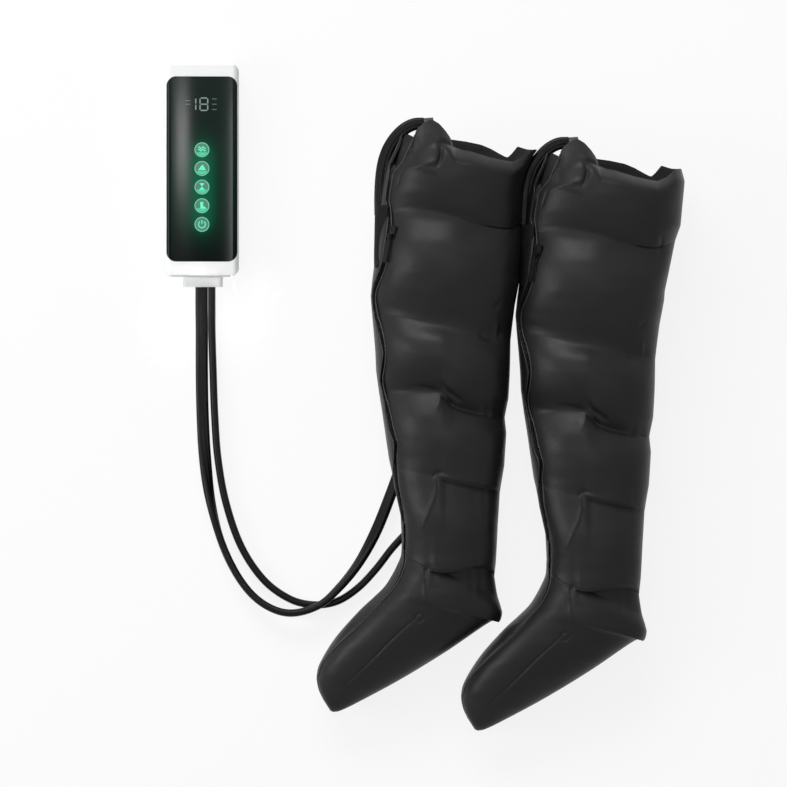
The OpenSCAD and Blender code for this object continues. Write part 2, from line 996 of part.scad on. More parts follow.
module chamber(k, give) {
    outer = [for (u = crown_steps) outline(chamber_station(k, give, u), 0, rake_at(k, u))];
    inner = [for (u = inner_steps)
        outline(chamber_station(k, give, u), wall_at(u), rake_at(k, u))];
    sleeve(outer, inner, [], []);
}

module foot_chamber() {
    last = len(foot_stations) - 1;
    outer = [for (s = foot_stations) outline(s, 0, 0)];
    inner = [for (i = [0 : last - 1])
        outline(foot_stations[i], i == 0 ? weld_wall : chamber_wall, 0)];
    sleeve(outer, inner, toe_tip, inner_toe_tip);
}

// ---------- zip ----------

// Points of the zip line on the boot, with the outward direction at each
function zip_normal(s) =
    let (
        side = unit([s[2] - s[0], s[3] - s[1]]),
        reach = norm([s[2] - s[0], s[3] - s[1]]) / 2,
        half = (s[5] - s[4]) / 2
    )
    unit([side[0] * cos(zip_angle) / reach, side[1] * cos(zip_angle) / reach,
          sin(zip_angle) / half]);

function zip_spot(s, lift) = outline_point(s, zip_angle, 0, 0) + zip_normal(s) * lift;

function leg_zip_stations() =
    [for (k = [1 : len(crowns) - 1], u = zip_run) chamber_station(k, no_give, u)];

function foot_zip_stations() = [for (i = [1 : 4]) foot_stations[i]];

function zip_ring(s, d) =
    let (
        n = zip_normal(s),
        across = unit(cross(d, n)),
        p = zip_spot(s, zip_lift)
    )
    [p - across * zip_w / 2, p + across * zip_w / 2,
     p + across * zip_w / 2 - n * zip_t, p - across * zip_w / 2 - n * zip_t];

module zip_tape() {
    stations = concat(leg_zip_stations(), foot_zip_stations());
    last = len(stations) - 1;
    path = [for (s = stations) zip_spot(s, zip_lift)];
    rings = [for (i = [0 : last])
        zip_ring(stations[i], unit(path[min(i + 1, last)] - path[max(i - 1, 0)]))];
    points = [for (r = rings) each r];
    faces = [
        for (i = [0 : last - 1]) each strip(i, 4, 0, true),
        [0, 1, 2],
        [0, 2, 3],
        [4 * last + 2, 4 * last + 1, 4 * last],
        [4 * last + 3, 4 * last + 2, 4 * last]
    ];
    color(zip_black)
    polyhedron(points, faces);
}

// The slider's straight run: its start, its direction and the outward direction
run_start = zip_spot(chamber_station(slider_chamber, no_give, zip_run[0]), zip_lift);
run_end = zip_spot(chamber_station(slider_chamber, no_give, zip_run[1]), zip_lift);
run_dir = unit(run_end - run_start);
run_normal_0 = zip_normal(chamber_station(slider_chamber, no_give, 0.5));
run_across = unit(cross(run_dir, run_normal_0));
run_normal = cross(run_across, run_dir);
slider_spot = mix(run_start, run_end, slider_start);
pin_lift = 6.3;
pin_along = 4;
ear_t = 1.6;
ear_inner = 2.3;
ear_l = 5;
ear_over = 1.5;
slider_t = 3;
slider_r = 3;
eye_wall = 1.5;
puller_t = 1.6;
puller_w = 8;
puller_r = 2.5;
neck_l = 9;
puller_from = 6;

// Puts children on the zip: +Y down the zip, +Z away from the boot
module on_zip() {
    multmatrix([
        [run_across[0], run_dir[0], run_normal[0], slider_spot[0]],
        [run_across[1], run_dir[1], run_normal[1], slider_spot[1]],
        [run_across[2], run_dir[2], run_normal[2], slider_spot[2]],
        [0, 0, 0, 1]
    ])
        children();
}

module zip_slider() {
    color(zip_black)
    on_zip() {
        translate([0, 0, slider_gap])
            linear_extrude(slider_t)
                round_rect(slider_w, slider_l, slider_r);
        for (s = [-1, 1])
            translate([s * (ear_inner + ear_t / 2) - ear_t / 2, pin_along - ear_l / 2,
                       slider_gap + slider_t - e])
                cube([ear_t, ear_l, pin_lift - slider_gap - slider_t + ear_over]);
        translate([-ear_inner - ear_t / 2, pin_along, pin_lift])
            rotate([0, 90, 0])
                cylinder(d = puller_pin_d, h = 2 * ear_inner + ear_t);
    }
}

module zip_puller() {
    eye_w = 2 * (ear_inner - slide_gap);
    color(zip_black)
    on_zip()
        difference() {
            union() {
                translate([-eye_w / 2, pin_along, pin_lift])
                    rotate([0, 90, 0])
                        cylinder(d = puller_pin_d + 2 * eye_wall, h = eye_w);
                translate([-eye_w / 2, pin_along, pin_lift - puller_t / 2])
                    cube([eye_w, neck_l, puller_t]);
                translate([0, pin_along + puller_from + puller_l / 2, pin_lift - puller_t / 2])
                    linear_extrude(puller_t)
                        round_rect(puller_w, puller_l, puller_r);
            }
            translate([-eye_w, pin_along, pin_lift])
                rotate([0, 90, 0])
                    cylinder(d = puller_pin_d + 2 * slide_gap, h = 2 * eye_w);
        }
}

// ---------- hose fittings of a boot ----------

// A short level collar that carries on from the end of a hose
module collar(end, direction, l) {
    translate(spot(end))
        rotate([0, 0, -atan2(direction[0], direction[1])])
            bar_y(collar_d, 0, 0, 0, l);
}

module rim_collars() {
    n = len(rim_hose_route) - 1;
    color(dark_plastic) {
        collar(rim_hose_route[0], -heading(rim_hose_route, 0), rim_collar_l);
        collar(rim_hose_route[n], heading(rim_hose_route, n), low_collar_l);
    }
}

module inlet_collar(route) {
    n = len(route) - 1;
    color(dark_plastic)
        collar(route[n], heading(route, n), inlet_collar_l);
}

module left_fittings() {
    translate(left_spot)
        rim_collars();
    inlet_collar(left_hose_route);
}

module right_fittings() {
    translate(right_spot)
        rim_collars();
    inlet_collar(right_hose_route);
}

module left_chamber_1() {
    translate(left_spot) chamber(0, left_give);
}

module left_chamber_2() {
    translate(left_spot) chamber(1, left_give);
}

module left_chamber_3() {
    translate(left_spot) chamber(2, left_give);
}

module left_chamber_4() {
    translate(left_spot) chamber(3, left_give);
}

module left_chamber_5() {
    translate(left_spot) chamber(4, left_give);
}

module left_chamber_foot() {
    translate(left_spot) foot_chamber();
}

module left_zip_tape() {
    translate(left_spot) zip_tape();
}

module left_zip_slider() {
    translate(left_spot) zip_slider();
}

module left_zip_puller() {
    translate(left_spot) zip_puller();
}

module right_chamber_1() {
    translate(right_spot) chamber(0, no_give);
}

module right_chamber_2() {
    translate(right_spot) chamber(1, no_give);
}

module right_chamber_3() {
    translate(right_spot) chamber(2, no_give);
}

module right_chamber_4() {
    translate(right_spot) chamber(3, no_give);
}

module right_chamber_5() {
    translate(right_spot) chamber(4, no_give);
}

module right_chamber_foot() {
    translate(right_spot) foot_chamber();
}

module right_zip_tape() {
    translate(right_spot) zip_tape();
}

module right_zip_slider() {
    translate(right_spot) zip_slider();
}

module right_zip_puller() {
    translate(right_spot) zip_puller();
}

rear_casing();
front_casing();
gloss_panel();
mode_key();
pressure_key();
timer_key();
zone_key();
power_key();
key_mat();
main_board();
display();
key_lights();
buzzer();
battery_pack();
battery_tray();
pump_head();
pump_motor();
pump_rotor();
pump_cradle();
valve_manifold();
valve_coils();
left_valve_plunger();
right_valve_plunger();
air_tubes();
pressure_sensor();
charge_socket();
air_socket();
socket_seals();
case_screws();
board_screws();
grip_pad();
plug_body();
plug_nipples();
left_hose();
right_hose();
left_rim_hose();
right_rim_hose();
left_chamber_1();
left_chamber_2();
left_chamber_3();
left_chamber_4();
left_chamber_5();
left_chamber_foot();
left_zip_tape();
left_zip_slider();
left_zip_puller();
left_fittings();
right_chamber_1();
right_chamber_2();
right_chamber_3();
right_chamber_4();
right_chamber_5();
right_chamber_foot();
right_zip_tape();
right_zip_slider();
right_zip_puller();
right_fittings();
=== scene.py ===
"""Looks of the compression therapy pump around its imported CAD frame.

Lines, tables and sizes of pieces are millimetres and take MM on their way into a mesh.
The camera, the lamps, the floor and the materials are in metres, like the frame itself.
"""

import json
import math

import bpy
import numpy as np
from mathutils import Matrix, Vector


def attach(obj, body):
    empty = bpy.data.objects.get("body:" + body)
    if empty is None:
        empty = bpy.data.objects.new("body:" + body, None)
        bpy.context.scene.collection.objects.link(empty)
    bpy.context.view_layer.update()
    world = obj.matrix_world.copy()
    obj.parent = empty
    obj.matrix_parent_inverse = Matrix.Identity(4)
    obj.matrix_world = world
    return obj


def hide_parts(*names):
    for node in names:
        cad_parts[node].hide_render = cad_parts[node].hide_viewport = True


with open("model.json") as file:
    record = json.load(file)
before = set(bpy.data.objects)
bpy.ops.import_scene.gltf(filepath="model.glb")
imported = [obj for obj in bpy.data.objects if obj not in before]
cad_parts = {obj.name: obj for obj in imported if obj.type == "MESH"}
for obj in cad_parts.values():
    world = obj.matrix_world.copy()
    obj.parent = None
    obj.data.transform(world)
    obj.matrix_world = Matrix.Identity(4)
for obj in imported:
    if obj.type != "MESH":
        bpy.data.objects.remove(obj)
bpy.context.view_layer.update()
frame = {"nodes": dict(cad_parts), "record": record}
MM = 0.001

# ---------- camera: straight down, tilted 3 degrees to the left ----------

TILT = math.radians(3)
PX_MM = 1.25                     # millimetres a pixel of the photograph
PHOTO = 787                      # pixels along each side of the photograph
ORIGIN_PX = (200, 169.75)        # pixel of the frame's origin ...
ORIGIN_HEIGHT = 0.06             # ... at this height over it, in metres
BOOT_PX = (464, 149.75)          # pixel of the left boot's own origin ...
BOOT_HEIGHT = 75.0               # ... at this height, in millimetres
CAMERA_FAR = 10.0
SENSOR = 36
CLIP_END = 100


def placed(name, data):
    """A new object of the scene."""
    ob = bpy.data.objects.new(name, data)
    bpy.context.scene.collection.objects.link(ob)
    return ob


def make_camera():
    data = bpy.data.cameras.new("camera")
    cam = placed("camera", data)
    along = (PHOTO / 2 - ORIGIN_PX[0]) * PX_MM * MM
    x = (along - ORIGIN_HEIGHT * math.sin(TILT)) / math.cos(TILT)
    y = (ORIGIN_PX[1] - PHOTO / 2) * PX_MM * MM
    toward = Vector((math.sin(TILT), 0, -math.cos(TILT)))
    cam.location = Vector((x, y, ORIGIN_HEIGHT)) - toward * CAMERA_FAR
    cam.rotation_euler = (0, -TILT, 0)
    data.sensor_width = SENSOR
    data.lens = SENSOR * CAMERA_FAR / (PHOTO * PX_MM * MM)
    data.clip_end = CLIP_END
    bpy.context.scene.camera = cam


make_camera()
bpy.context.scene.view_settings.view_transform = "Standard"

# ---------- small helpers ----------


def smooth01(t):
    """A soft step: 0 up to t = 0 and 1 from t = 1."""
    t = np.clip(t, 0, 1)
    return t * t * (3 - 2 * t)


def catmull(points, per):
    """A smooth line through points, with per steps between two of them."""
    p = np.array(points, float)
    p = np.vstack([2 * p[0] - p[1], p, 2 * p[-1] - p[-2]])
    out = []
    for i in range(1, len(p) - 2):
        for t in np.arange(per) / per:
            a, b, c, d = p[i - 1], p[i], p[i + 1], p[i + 2]
            out.append(0.5 * (2 * b + (c - a) * t + (2 * a - 5 * b + 4 * c - d) * t * t
                              + (3 * b - a - 3 * c + d) * t ** 3))
    out.append(p[-2])
    return np.array(out)


def unit(vectors):
    return vectors / np.linalg.norm(vectors, axis=1)[:, None]


def directions(line):
    """Unit vectors along a line, level across it and up from it, at each of its points."""
    along = unit(np.gradient(line, axis=0))
    across = unit(np.cross(along, [0, 0, 1.0]))
    return along, across, np.cross(across, along)


def mesh_object(name, verts, faces, material, body="boots", smooth=True):
    """A mesh in metres that rides on a CAD body."""
    me = bpy.data.meshes.new(name)
    me.from_pydata([tuple(v) for v in verts], [], faces)
    me.validate()
    ob = placed(name, me)
    me.materials.append(material)
    if smooth:
        me.polygons.foreach_set("use_smooth", [True] * len(me.polygons))
    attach(ob, body)
    return ob


def grid_faces(rows, cols, flip=False):
    """Quads between closed rings of vertices, one ring a row."""
    r = np.arange(rows - 1)[:, None]
    c = np.arange(cols)[None, :]
    a = r * cols + c
    b = r * cols + (c + 1) % cols
    quads = np.stack([a, b, b + cols, a + cols], -1).reshape(-1, 4)
    return (quads[:, ::-1] if flip else quads).tolist()


def closed_tube(rings, line):
    """Vertices and faces of rings of points round a line, closed by a fan at each end."""
    rows, n = rings.shape[:2]
    verts = np.vstack([rings.reshape(-1, 3), line[:1], line[-1:]]) * MM
    start, first, last = (rows - 1) * n, rows * n, rows * n + 1
    faces = grid_faces(rows, n)
    faces += [[(k + 1) % n, k, first] for k in range(n)]
    faces += [[start + k, start + (k + 1) % n, last] for k in range(n)]
    return verts, faces


# ---------- materials ----------

CLOUD_LOW, CLOUD_HIGH = 0.3, 0.7         # part of a noise over which a mix runs


def new(nt, kind):
    return nt.nodes.new("ShaderNode" + kind)


def emptied(owner, output):
    """The node tree of a material or world with nothing but a new output node."""
    owner.use_nodes = True
    nt = owner.node_tree
    nt.nodes.clear()
    return nt, new(nt, output)


def put(node, **values):
    """Sets inputs of a node by their names, with _ for a blank."""
    for name, value in values.items():
        node.inputs[name.replace("_", " ")].default_value = value


def new_material(name):
    m = bpy.data.materials.new(name)
    nt, out = emptied(m, "OutputMaterial")
    bsdf = new(nt, "BsdfPrincipled")
    nt.links.new(bsdf.outputs[0], out.inputs[0])
    return m, nt, bsdf


def coords(nt):
    return new(nt, "TexCoord").outputs["Object"]


def noise(nt, vector, scale, detail=3.0, roughness=0.5):
    n = new(nt, "TexNoise")
    put(n, Scale=scale, Detail=detail, Roughness=roughness)
    nt.links.new(vector, n.inputs["Vector"])
    return n.outputs["Fac"]


def ramp(nt, value, stops):
    n = new(nt, "ValToRGB")
    while len(n.color_ramp.elements) < len(stops):
        n.color_ramp.elements.new(0.5)
    for el, (pos, colour) in zip(n.color_ramp.elements, stops):
        el.position = pos
        el.color = (*colour, 1)
    nt.links.new(value, n.inputs[0])
    return n.outputs[0]


def mixed(nt, cloud, low, high):
    """A soft mix of two colours over a noise."""
    return ramp(nt, cloud, [(CLOUD_LOW, low), (CLOUD_HIGH, high)])


def maths(nt, op, a, b):
    n = new(nt, "Math")
    n.operation = op
    for i, v in enumerate((a, b)):
        if isinstance(v, (int, float)):
            n.inputs[i].default_value = v
        else:
            nt.links.new(v, n.inputs[i])
    return n.outputs[0]


def bump(nt, bsdf, height, distance, strength=1.0, under=None):
    n = new(nt, "Bump")
    put(n, Distance=distance, Strength=strength)
    nt.links.new(height, n.inputs["Height"])
    if under is not None:
        nt.links.new(under, n.inputs["Normal"])
    nt.links.new(n.outputs[0], bsdf.inputs["Normal"])
    return n.outputs[0]


MAT = {}                                 # by the record's slots or the looks' own names


def varied(slot, name, colour, spread, scale, rough, rough_spread, specular, grain=None,
           metallic=0.0):
    """A material whose colour and roughness vary softly; grain is a bump's scale and depth."""
    m, nt, bsdf = new_material(name)
    xyz = coords(nt)
    low = tuple(max(c * (1 - spread), 0) for c in colour)
    high = tuple(min(c * (1 + spread), 1) for c in colour)
    cloud = noise(nt, xyz, scale, 4)
    nt.links.new(mixed(nt, cloud, low, high), bsdf.inputs["Base Color"])
    r = mixed(nt, cloud, (rough - rough_spread,) * 3, (rough + rough_spread,) * 3)
    nt.links.new(r, bsdf.inputs["Roughness"])
    put(bsdf, Specular_IOR_Level=specular, Metallic=metallic)
    if grain:
        bump(nt, bsdf, noise(nt, xyz, grain[0], 2), grain[1])
    MAT[slot] = m


FABRIC_DARK, FABRIC_LIGHT = (0.0118, 0.0110, 0.0115), (0.0150, 0.0141, 0.0146)
FABRIC_GLOSSY, FABRIC_MATT = 0.37, 0.44      # roughness
FABRIC_SPECULAR = 0.16
CLOUD_SCALE, SATIN_SCALE = 9, 60
CREASE_SCALE, CREASE_DEEP, CREASE_STRENGTH = 42, 0.0008, 0.45
WEAVE_SCALE, WEAVE_DEEP, WEAVE_STRENGTH = 300, 0.00012, 0.35
WEAVE_UNEVEN = 0.4


def fabric_material():
    """Coated black nylon: a fine plain weave under a satin film, with faint creases."""
    m, nt, bsdf = new_material("boot_fabric")
    xyz = coords(nt)
    cloud = noise(nt, xyz, CLOUD_SCALE, 4)
    nt.links.new(mixed(nt, cloud, FABRIC_DARK, FABRIC_LIGHT), bsdf.inputs["Base Color"])
    fine = noise(nt, xyz, SATIN_SCALE, 3)
    satin = mixed(nt, fine, (FABRIC_GLOSSY,) * 3, (FABRIC_MATT,) * 3)
    nt.links.new(satin, bsdf.inputs["Roughness"])
    put(bsdf, Specular_IOR_Level=FABRIC_SPECULAR)
    folds = noise(nt, xyz, CREASE_SCALE, 3, 0.6)
    creases = bump(nt, bsdf, folds, CREASE_DEEP, CREASE_STRENGTH)
    weave = new(nt, "TexWave")
    weave.wave_type = "BANDS"
    weave.bands_direction = "DIAGONAL"
    put(weave, Scale=WEAVE_SCALE, Distortion=WEAVE_UNEVEN)
    nt.links.new(xyz, weave.inputs["Vector"])
    bump(nt, bsdf, weave.outputs["Fac"], WEAVE_DEEP, WEAVE_STRENGTH, under=creases)
    return m


MAT["boot_fabric"] = fabric_material()
# Slot, name, colour, its spread, clouds' scale, roughness, its spread, specular, grain, metallic
for finish in [
        ("case_white", "case_white", (0.80, 0.81, 0.81), 0.012, 30, 0.36, 0.04, 0.45,
         (2600, 0.00002)),
        ("lining", "boot_lining", (0.016, 0.0155, 0.016), 0.2, 20, 0.7, 0.05, 0.08, (900, 0.0002)),
        ("hose_rubber", "hose_rubber", (0.0032, 0.0032, 0.0034), 0.2, 25, 0.32, 0.05, 0.13,
         (1200, 0.00004)),
        ("zip", "zip_metal", (0.005, 0.005, 0.0052), 0.2, 200, 0.4, 0.06, 0.15),
        ("piping", "piping", (0.015, 0.015, 0.0155), 0.15, 40, 0.42, 0.05, 0.35, (1500, 0.0001)),
        ("strap", "strap", (0.0085, 0.0083, 0.0086), 0.2, 30, 0.55, 0.05, 0.06, (1400, 0.00008)),
        ("key_lit", "key_cap", (0.002, 0.012, 0.008), 0.1, 60, 0.12, 0.02, 0.35),
        ("board", "board", (0.02, 0.12, 0.05), 0.15, 80, 0.45, 0.05, 0.4, (900, 0.00005)),
        ("dark_plastic", "dark_plastic", (0.03, 0.03, 0.032), 0.1, 60, 0.5, 0.05, 0.4,
         (1800, 0.00004)),
        ("cell_wrap", "cell_wrap", (0.02, 0.10, 0.35), 0.1, 60, 0.3, 0.05, 0.5),
        ("silicone", "silicone", (0.60, 0.62, 0.62), 0.05, 60, 0.55, 0.05, 0.35),
        ("steel", "steel", (0.55, 0.55, 0.56), 0.06, 300, 0.28, 0.06, 0.5, None, 1.0),
        ("copper", "copper_wire", (0.70, 0.28, 0.12), 0.1, 500, 0.35, 0.05, 0.5, None, 1.0),
        ("seal_rubber", "seal_rubber", (0.02, 0.02, 0.02), 0.1, 60, 0.7, 0.05, 0.3,
         (1200, 0.0001))]:
    varied(*finish)

# ---------- hoses (their routes repeat part.scad's, in millimetres) ----------

HOSE_W, HOSE_T = 15.6, 9.4
HOSE_CORNER = 2.8                        # power of the outline; 2 would be an ellipse
HOSE_GROOVES, HOSE_GROOVE_W, HOSE_GROOVE_DEEP = (-2.6, 2.6), 0.9, 0.6
HOSE_STEPS = 8                           # steps between two points of a route
LEFT_HOSE = [
    [0.5, -146.2, 13, 0], [0.5, -170, 11, 0], [1, -205, 6, 0], [1, -250, 5, 0],
    [2, -305, 5, 0], [5, -360, 6, 20], [12, -415, 8, 60], [27, -470, 9, 90],
    [50, -515, 12, 90], [77, -543, 18, 90], [110, -555, 24, 90], [146, -546, 25, 90],
    [173, -523, 22, 80], [198, -492, 15, 65], [220, -452, 9, 45], [240, -402, 8, 45],
    [254, -362, 10, 45]]
RIGHT_HOSE = [
    [13.3, -146.2, 13, 90], [13.3, -170, 12, 90], [13.6, -205, 9, 90], [15, -250, 8, 90],
    [17, -305, 8, 90], [21, -360, 8, 90], [31, -416, 8, 90], [50, -471, 8, 90],
    [78, -513, 8, 90], [110, -537, 8, 90], [140, -545, 8, 90], [170, -541, 8, 90],
    [197, -524, 8, 90], [220, -500, 8, 90], [242, -472, 8, 90], [268, -446, 8.2, 80],
    [305, -418, 8.2, 60], [340, -386, 7, 30], [364, -338, 5, 0], [371, -275, 5, 0],
    [373, -215, 5, 0], [377, -165, 5, 0], [392, -120, 5, 0], [418, -80, 8, 0],
    [453, -43, 12, 0]]
RIM_HOSE = [
    [-50, 32, 78, 0], [-63, 31, 78, 0], [-76, 24, 77, 0], [-88, 11, 76, 0],
    [-97, -6, 76, 0], [-102, -27, 76, 0], [-104, -54, 76, 0], [-104, -82, 76, 0]]
BOOTS = {"left": (326.0, 25.0), "right": (507.25, 1.25)}


def hose_outline(n=48):
    """A flat hose with three lumens: a rounded bar with two grooves on each broad face."""
    a = (np.arange(n) + 0.5) / n * 2 * np.pi
    u = np.sign(np.cos(a)) * np.abs(np.cos(a)) ** (2 / HOSE_CORNER) * HOSE_W / 2
    v = np.sign(np.sin(a)) * np.abs(np.sin(a)) ** (2 / HOSE_CORNER) * HOSE_T / 2
    groove = sum(np.exp(-((u - g) / HOSE_GROOVE_W) ** 2) for g in HOSE_GROOVES)
    return u, v - np.sign(v) * HOSE_GROOVE_DEEP * groove


def sweep_hose(name, route, offset, replaces):
    """A hose along a route of [x, y, z, roll in degrees]."""
    line = catmull(np.array(route) + [offset[0], offset[1], 0, 0], HOSE_STEPS)
    p, roll = line[:, :3], np.radians(line[:, 3])
    _, across, up = directions(p)
    u, v = hose_outline()
    c, s = np.cos(roll)[:, None], np.sin(roll)[:, None]
    fu, fv = u[None] * c - v[None] * s, u[None] * s + v[None] * c
    rings = p[:, None, :] + across[:, None, :] * fu[..., None] + up[:, None, :] * fv[..., None]
    verts, faces = closed_tube(rings, p)
    ob = mesh_object(name, verts, faces, MAT["hose_rubber"])
    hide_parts(replaces)


nodes = frame["nodes"]
sweep_hose("hose_left", LEFT_HOSE, (0, 0), "left_hose")
sweep_hose("hose_right", RIGHT_HOSE, (0, 0), "right_hose")
for side, spot in BOOTS.items():
    sweep_hose(f"hose_rim_{side}", RIM_HOSE, spot, f"{side}_rim_hose")

# ---------- boots ----------

# Slices repeat part.scad's: [front x, front y, back x, back y, low z, top z], boot's own mm
WELDS = np.array([
    [-55, 30, 94, -3, 0, 150], [-93, -80, 85, -89, 7, 138], [-115, -195, 60, -233, 7, 131],
    [-106, -299, 52, -333, 7, 121], [-91, -395, 46, -429, 19, 118], [-77, -498, 39, -540, 22, 110]],
    float)
CROWNS = np.array([
    [-82, -28, 92, -44, -0.5, 152], [-111, -135, 74, -150, -0.5, 150],
    [-111, -250, 58, -278, -0.5, 142], [-99, -348, 54, -378, -0.5, 131],
    [-85, -444, 43, -481, 21, 127]], float)
# How far the left boot's back gives way to the right boot's hose, at its welds and crowns
GIVE = np.array([[11, 19, 0, 0, 0, 0], [28, 8, 0, 0, 0, 0]], float)
# The scene's foot has a few more slices for the lump at the heel and the square toe
FOOT_SHAPE = np.array([
    [-77, -498, 39, -540, 22, 110], [-78, -508, 42.5, -556, 14, 114], [-82, -518, 47, -571, 8, 118],
    [-89, -532, 48.8, -580, 3, 118], [-98, -546, 45, -590.5, -0.5, 117],
    [-112, -560, 34, -590.5, -0.5, 112], [-130, -577, -20, -627, -0.5, 106],
    [-158, -609, -75, -661, -0.5, 92], [-177, -640, -124, -688, 4, 74],
    [-182, -658, -150, -701, 14, 60], [-180, -674, -160, -703.5, 20, 52],
    [-174.5, -687, -163, -703, 25, 46]], float)


def from_photo(points, z=BOOT_HEIGHT):
    """Photograph pixels of the left boot to the boot's own millimetres at height z."""
    p = np.array(points, float)
    x = (p[:, 0] - BOOT_PX[0]) * PX_MM - (z - BOOT_HEIGHT) * math.sin(TILT)
    return np.stack([x, (BOOT_PX[1] - p[:, 1]) * PX_MM], 1)


# Outline of the boot from above, read off the photograph
FRONT_EDGE = from_photo([
    (405, 124), (400, 134), (392.5, 147), (387, 160), (384, 175), (381, 195), (379, 215),
    (376.5, 240), (375, 262), (372.9, 279), (371.3, 296), (372, 306), (374, 329), (375.8, 351),
    (376.8, 371), (379.4, 389), (383, 412), (386.5, 437), (389.6, 458), (393.2, 476), (395, 488),
    (401, 515), (402.5, 540), (402, 552)])
BACK_EDGE = from_photo([
    (537, 149), (540, 163.5), (537.4, 190), (536, 207), (531, 221), (524.6, 250), (520, 271),
    (519.5, 280), (515, 305), (511, 340), (510, 374), (509, 397), (505.5, 416), (507, 432),
    (504.8, 466), (500.3, 493), (498, 527), (496.4, 563), (494.5, 582)])
# The left boot's back ends beside the right boot's hose
BESIDE_HOSE = from_photo([
    (560, 130), (541, 148), (532.4, 159), (525.8, 171), (522.2, 185), (521.8, 215), (521.4, 240),
    (520.6, 252), (519.6, 264), (519, 272), (519.5, 280), (600, 282), (600, 600)])
# The middle of the zip's gap from the mouth to the toe, and the gap's width
ZIP_LINE = from_photo([
    (408.5, 128), (408, 136), (402.5, 148), (396.3, 162), (391.5, 172), (389.2, 184.6),
    (387.3, 199.6), (388.6, 208), (389.3, 219.5), (388.3, 234), (386.5, 247), (384.9, 259),
    (381.5, 271), (376.7, 284), (374.7, 294), (374.9, 303), (376.8, 315.5), (379.7, 328.3),
    (382.5, 341), (384.2, 353.8), (383.2, 366.5), (382.2, 379.3), (384.5, 392), (387.3, 404.8),
    (389.5, 417.6), (392.1, 430.3), (396, 443), (395.9, 455.8), (396.2, 468.6), (396.9, 481.3),
    (399, 492), (402.5, 509), (405.5, 528), (405.8, 547), (404.5, 564), (396, 583), (378.6, 603),
    (360, 623), (342, 641), (329, 656), (323, 668), (321, 676)], 92)
ZIP_GAP = [
    (120, 12), (162, 11), (168, 8), (174, 4), (199, 3.4), (208, 3), (219, 3), (234, 4.5),
    (247, 5.4), (259, 5), (284, 4.6), (294, 3.2), (315, 3.2), (328, 4.6), (341, 4.2), (354, 2.6),
    (366, 3.0), (392, 2.2), (405, 3.6), (417, 5.2), (430, 5.2), (443, 4.4), (456, 3.2),
    (468, 4.4), (481, 5), (495, 4), (520, 2.6), (564, 2.0), (603, 1.4), (641, 1.0), (676, 0.6)]
# Upper (near) and lower (far) lip of the mouth
NEAR_RIM = from_photo([
    (396, 125.75), (405, 125.75), (414.1, 137.4), (419.7, 126.2), (424.7, 121.2), (430, 118.5),
    (434, 118.5), (440, 122.5), (446, 129.5), (450.5, 136), (455, 146), (462, 149), (470, 150.5),
    (489, 157), (504, 160.5), (513, 162), (523, 158), (532, 150.5), (537, 149.5), (545, 152)], 140)
FAR_RIM = from_photo([
    (390, 140), (400, 134), (405, 133), (414, 136.5), (425, 136), (440, 134), (451, 135),
    (470, 138), (485, 141.5), (495, 146), (504, 151.5), (511, 155.5), (515, 152), (521, 144.5),
    (530, 148), (537, 149), (545, 150)])
# Valleys of the five welds on the upper side
SEAMS = [catmull(from_photo(p, 128), 6) for p in (
    [(370, 208), (390, 208), (403, 206), (425, 209), (449, 215), (475, 224), (507, 231), (518, 229),
     (533, 221), (545, 218)],
    [(360, 306), (384, 311), (416, 319), (449, 326), (470, 331), (485, 336), (497, 338.5),
     (512, 338), (525, 336)],
    [(365, 386), (384, 388), (412, 389), (430, 391), (441, 393), (447, 399.5), (457, 408),
     (480, 414.5), (505, 420), (525, 422)],
    [(380, 474), (400, 474), (425, 475.5), (438, 477), (450, 480.5), (469, 484), (500, 490),
     (515, 491)],
    [(390, 568), (404, 569), (415, 570.5), (428, 572), (440, 573), (456, 571.5), (481, 567.5),
     (495, 567), (510, 568)])]
# Each weld on the upper side, in mm: the broad dip's depth at its left and right end and how far
# below the weld it is deepest; the fold right of the hook: depth, length above and below
SEAM_SOFT = [(3.0, 8.0, 14), (3.0, 8.0, 2), (3.0, 5.5, 0), (-5.0, -2.0, 3), (-7.0, -1.0, 3)]
SEAM_FOLD = [(1.0, 5, 5), (3.0, 6, 3), (5.0, 9, 2.2), (7.0, 22, 48), (9.0, 22, 44)]
SEAM_OVERHANG = [0, 0, 0, 6.0, 6.0]      # how far the cloth above a folded weld stands up
# A pucker's share of each fold's depth, and where each fold starts at its hook
SEAM_PUCKER = [0.22, 0.22, 0.22, 0.06, 0.06]
SEAM_HOOK_X = [(v - BOOT_PX[0]) * PX_MM for v in (470, 480, 445, 440, 430)]

# Rows a chamber and in the foot; columns of the upper side, the zip's groove and the underside
ROWS_CHAMBER, ROWS_FOOT = 48, 198
N_UP, N_GROOVE, N_LOW = 150, 16, 92
COLS = N_UP + N_GROOVE + N_LOW
LAST_WELD, TOE = 5, 11           # t counts the welds from the mouth, and on to the toe
CROWN_EDGE, CROWN_ROUND, CROWN_POWER = 0.42, 0.004, 0.55


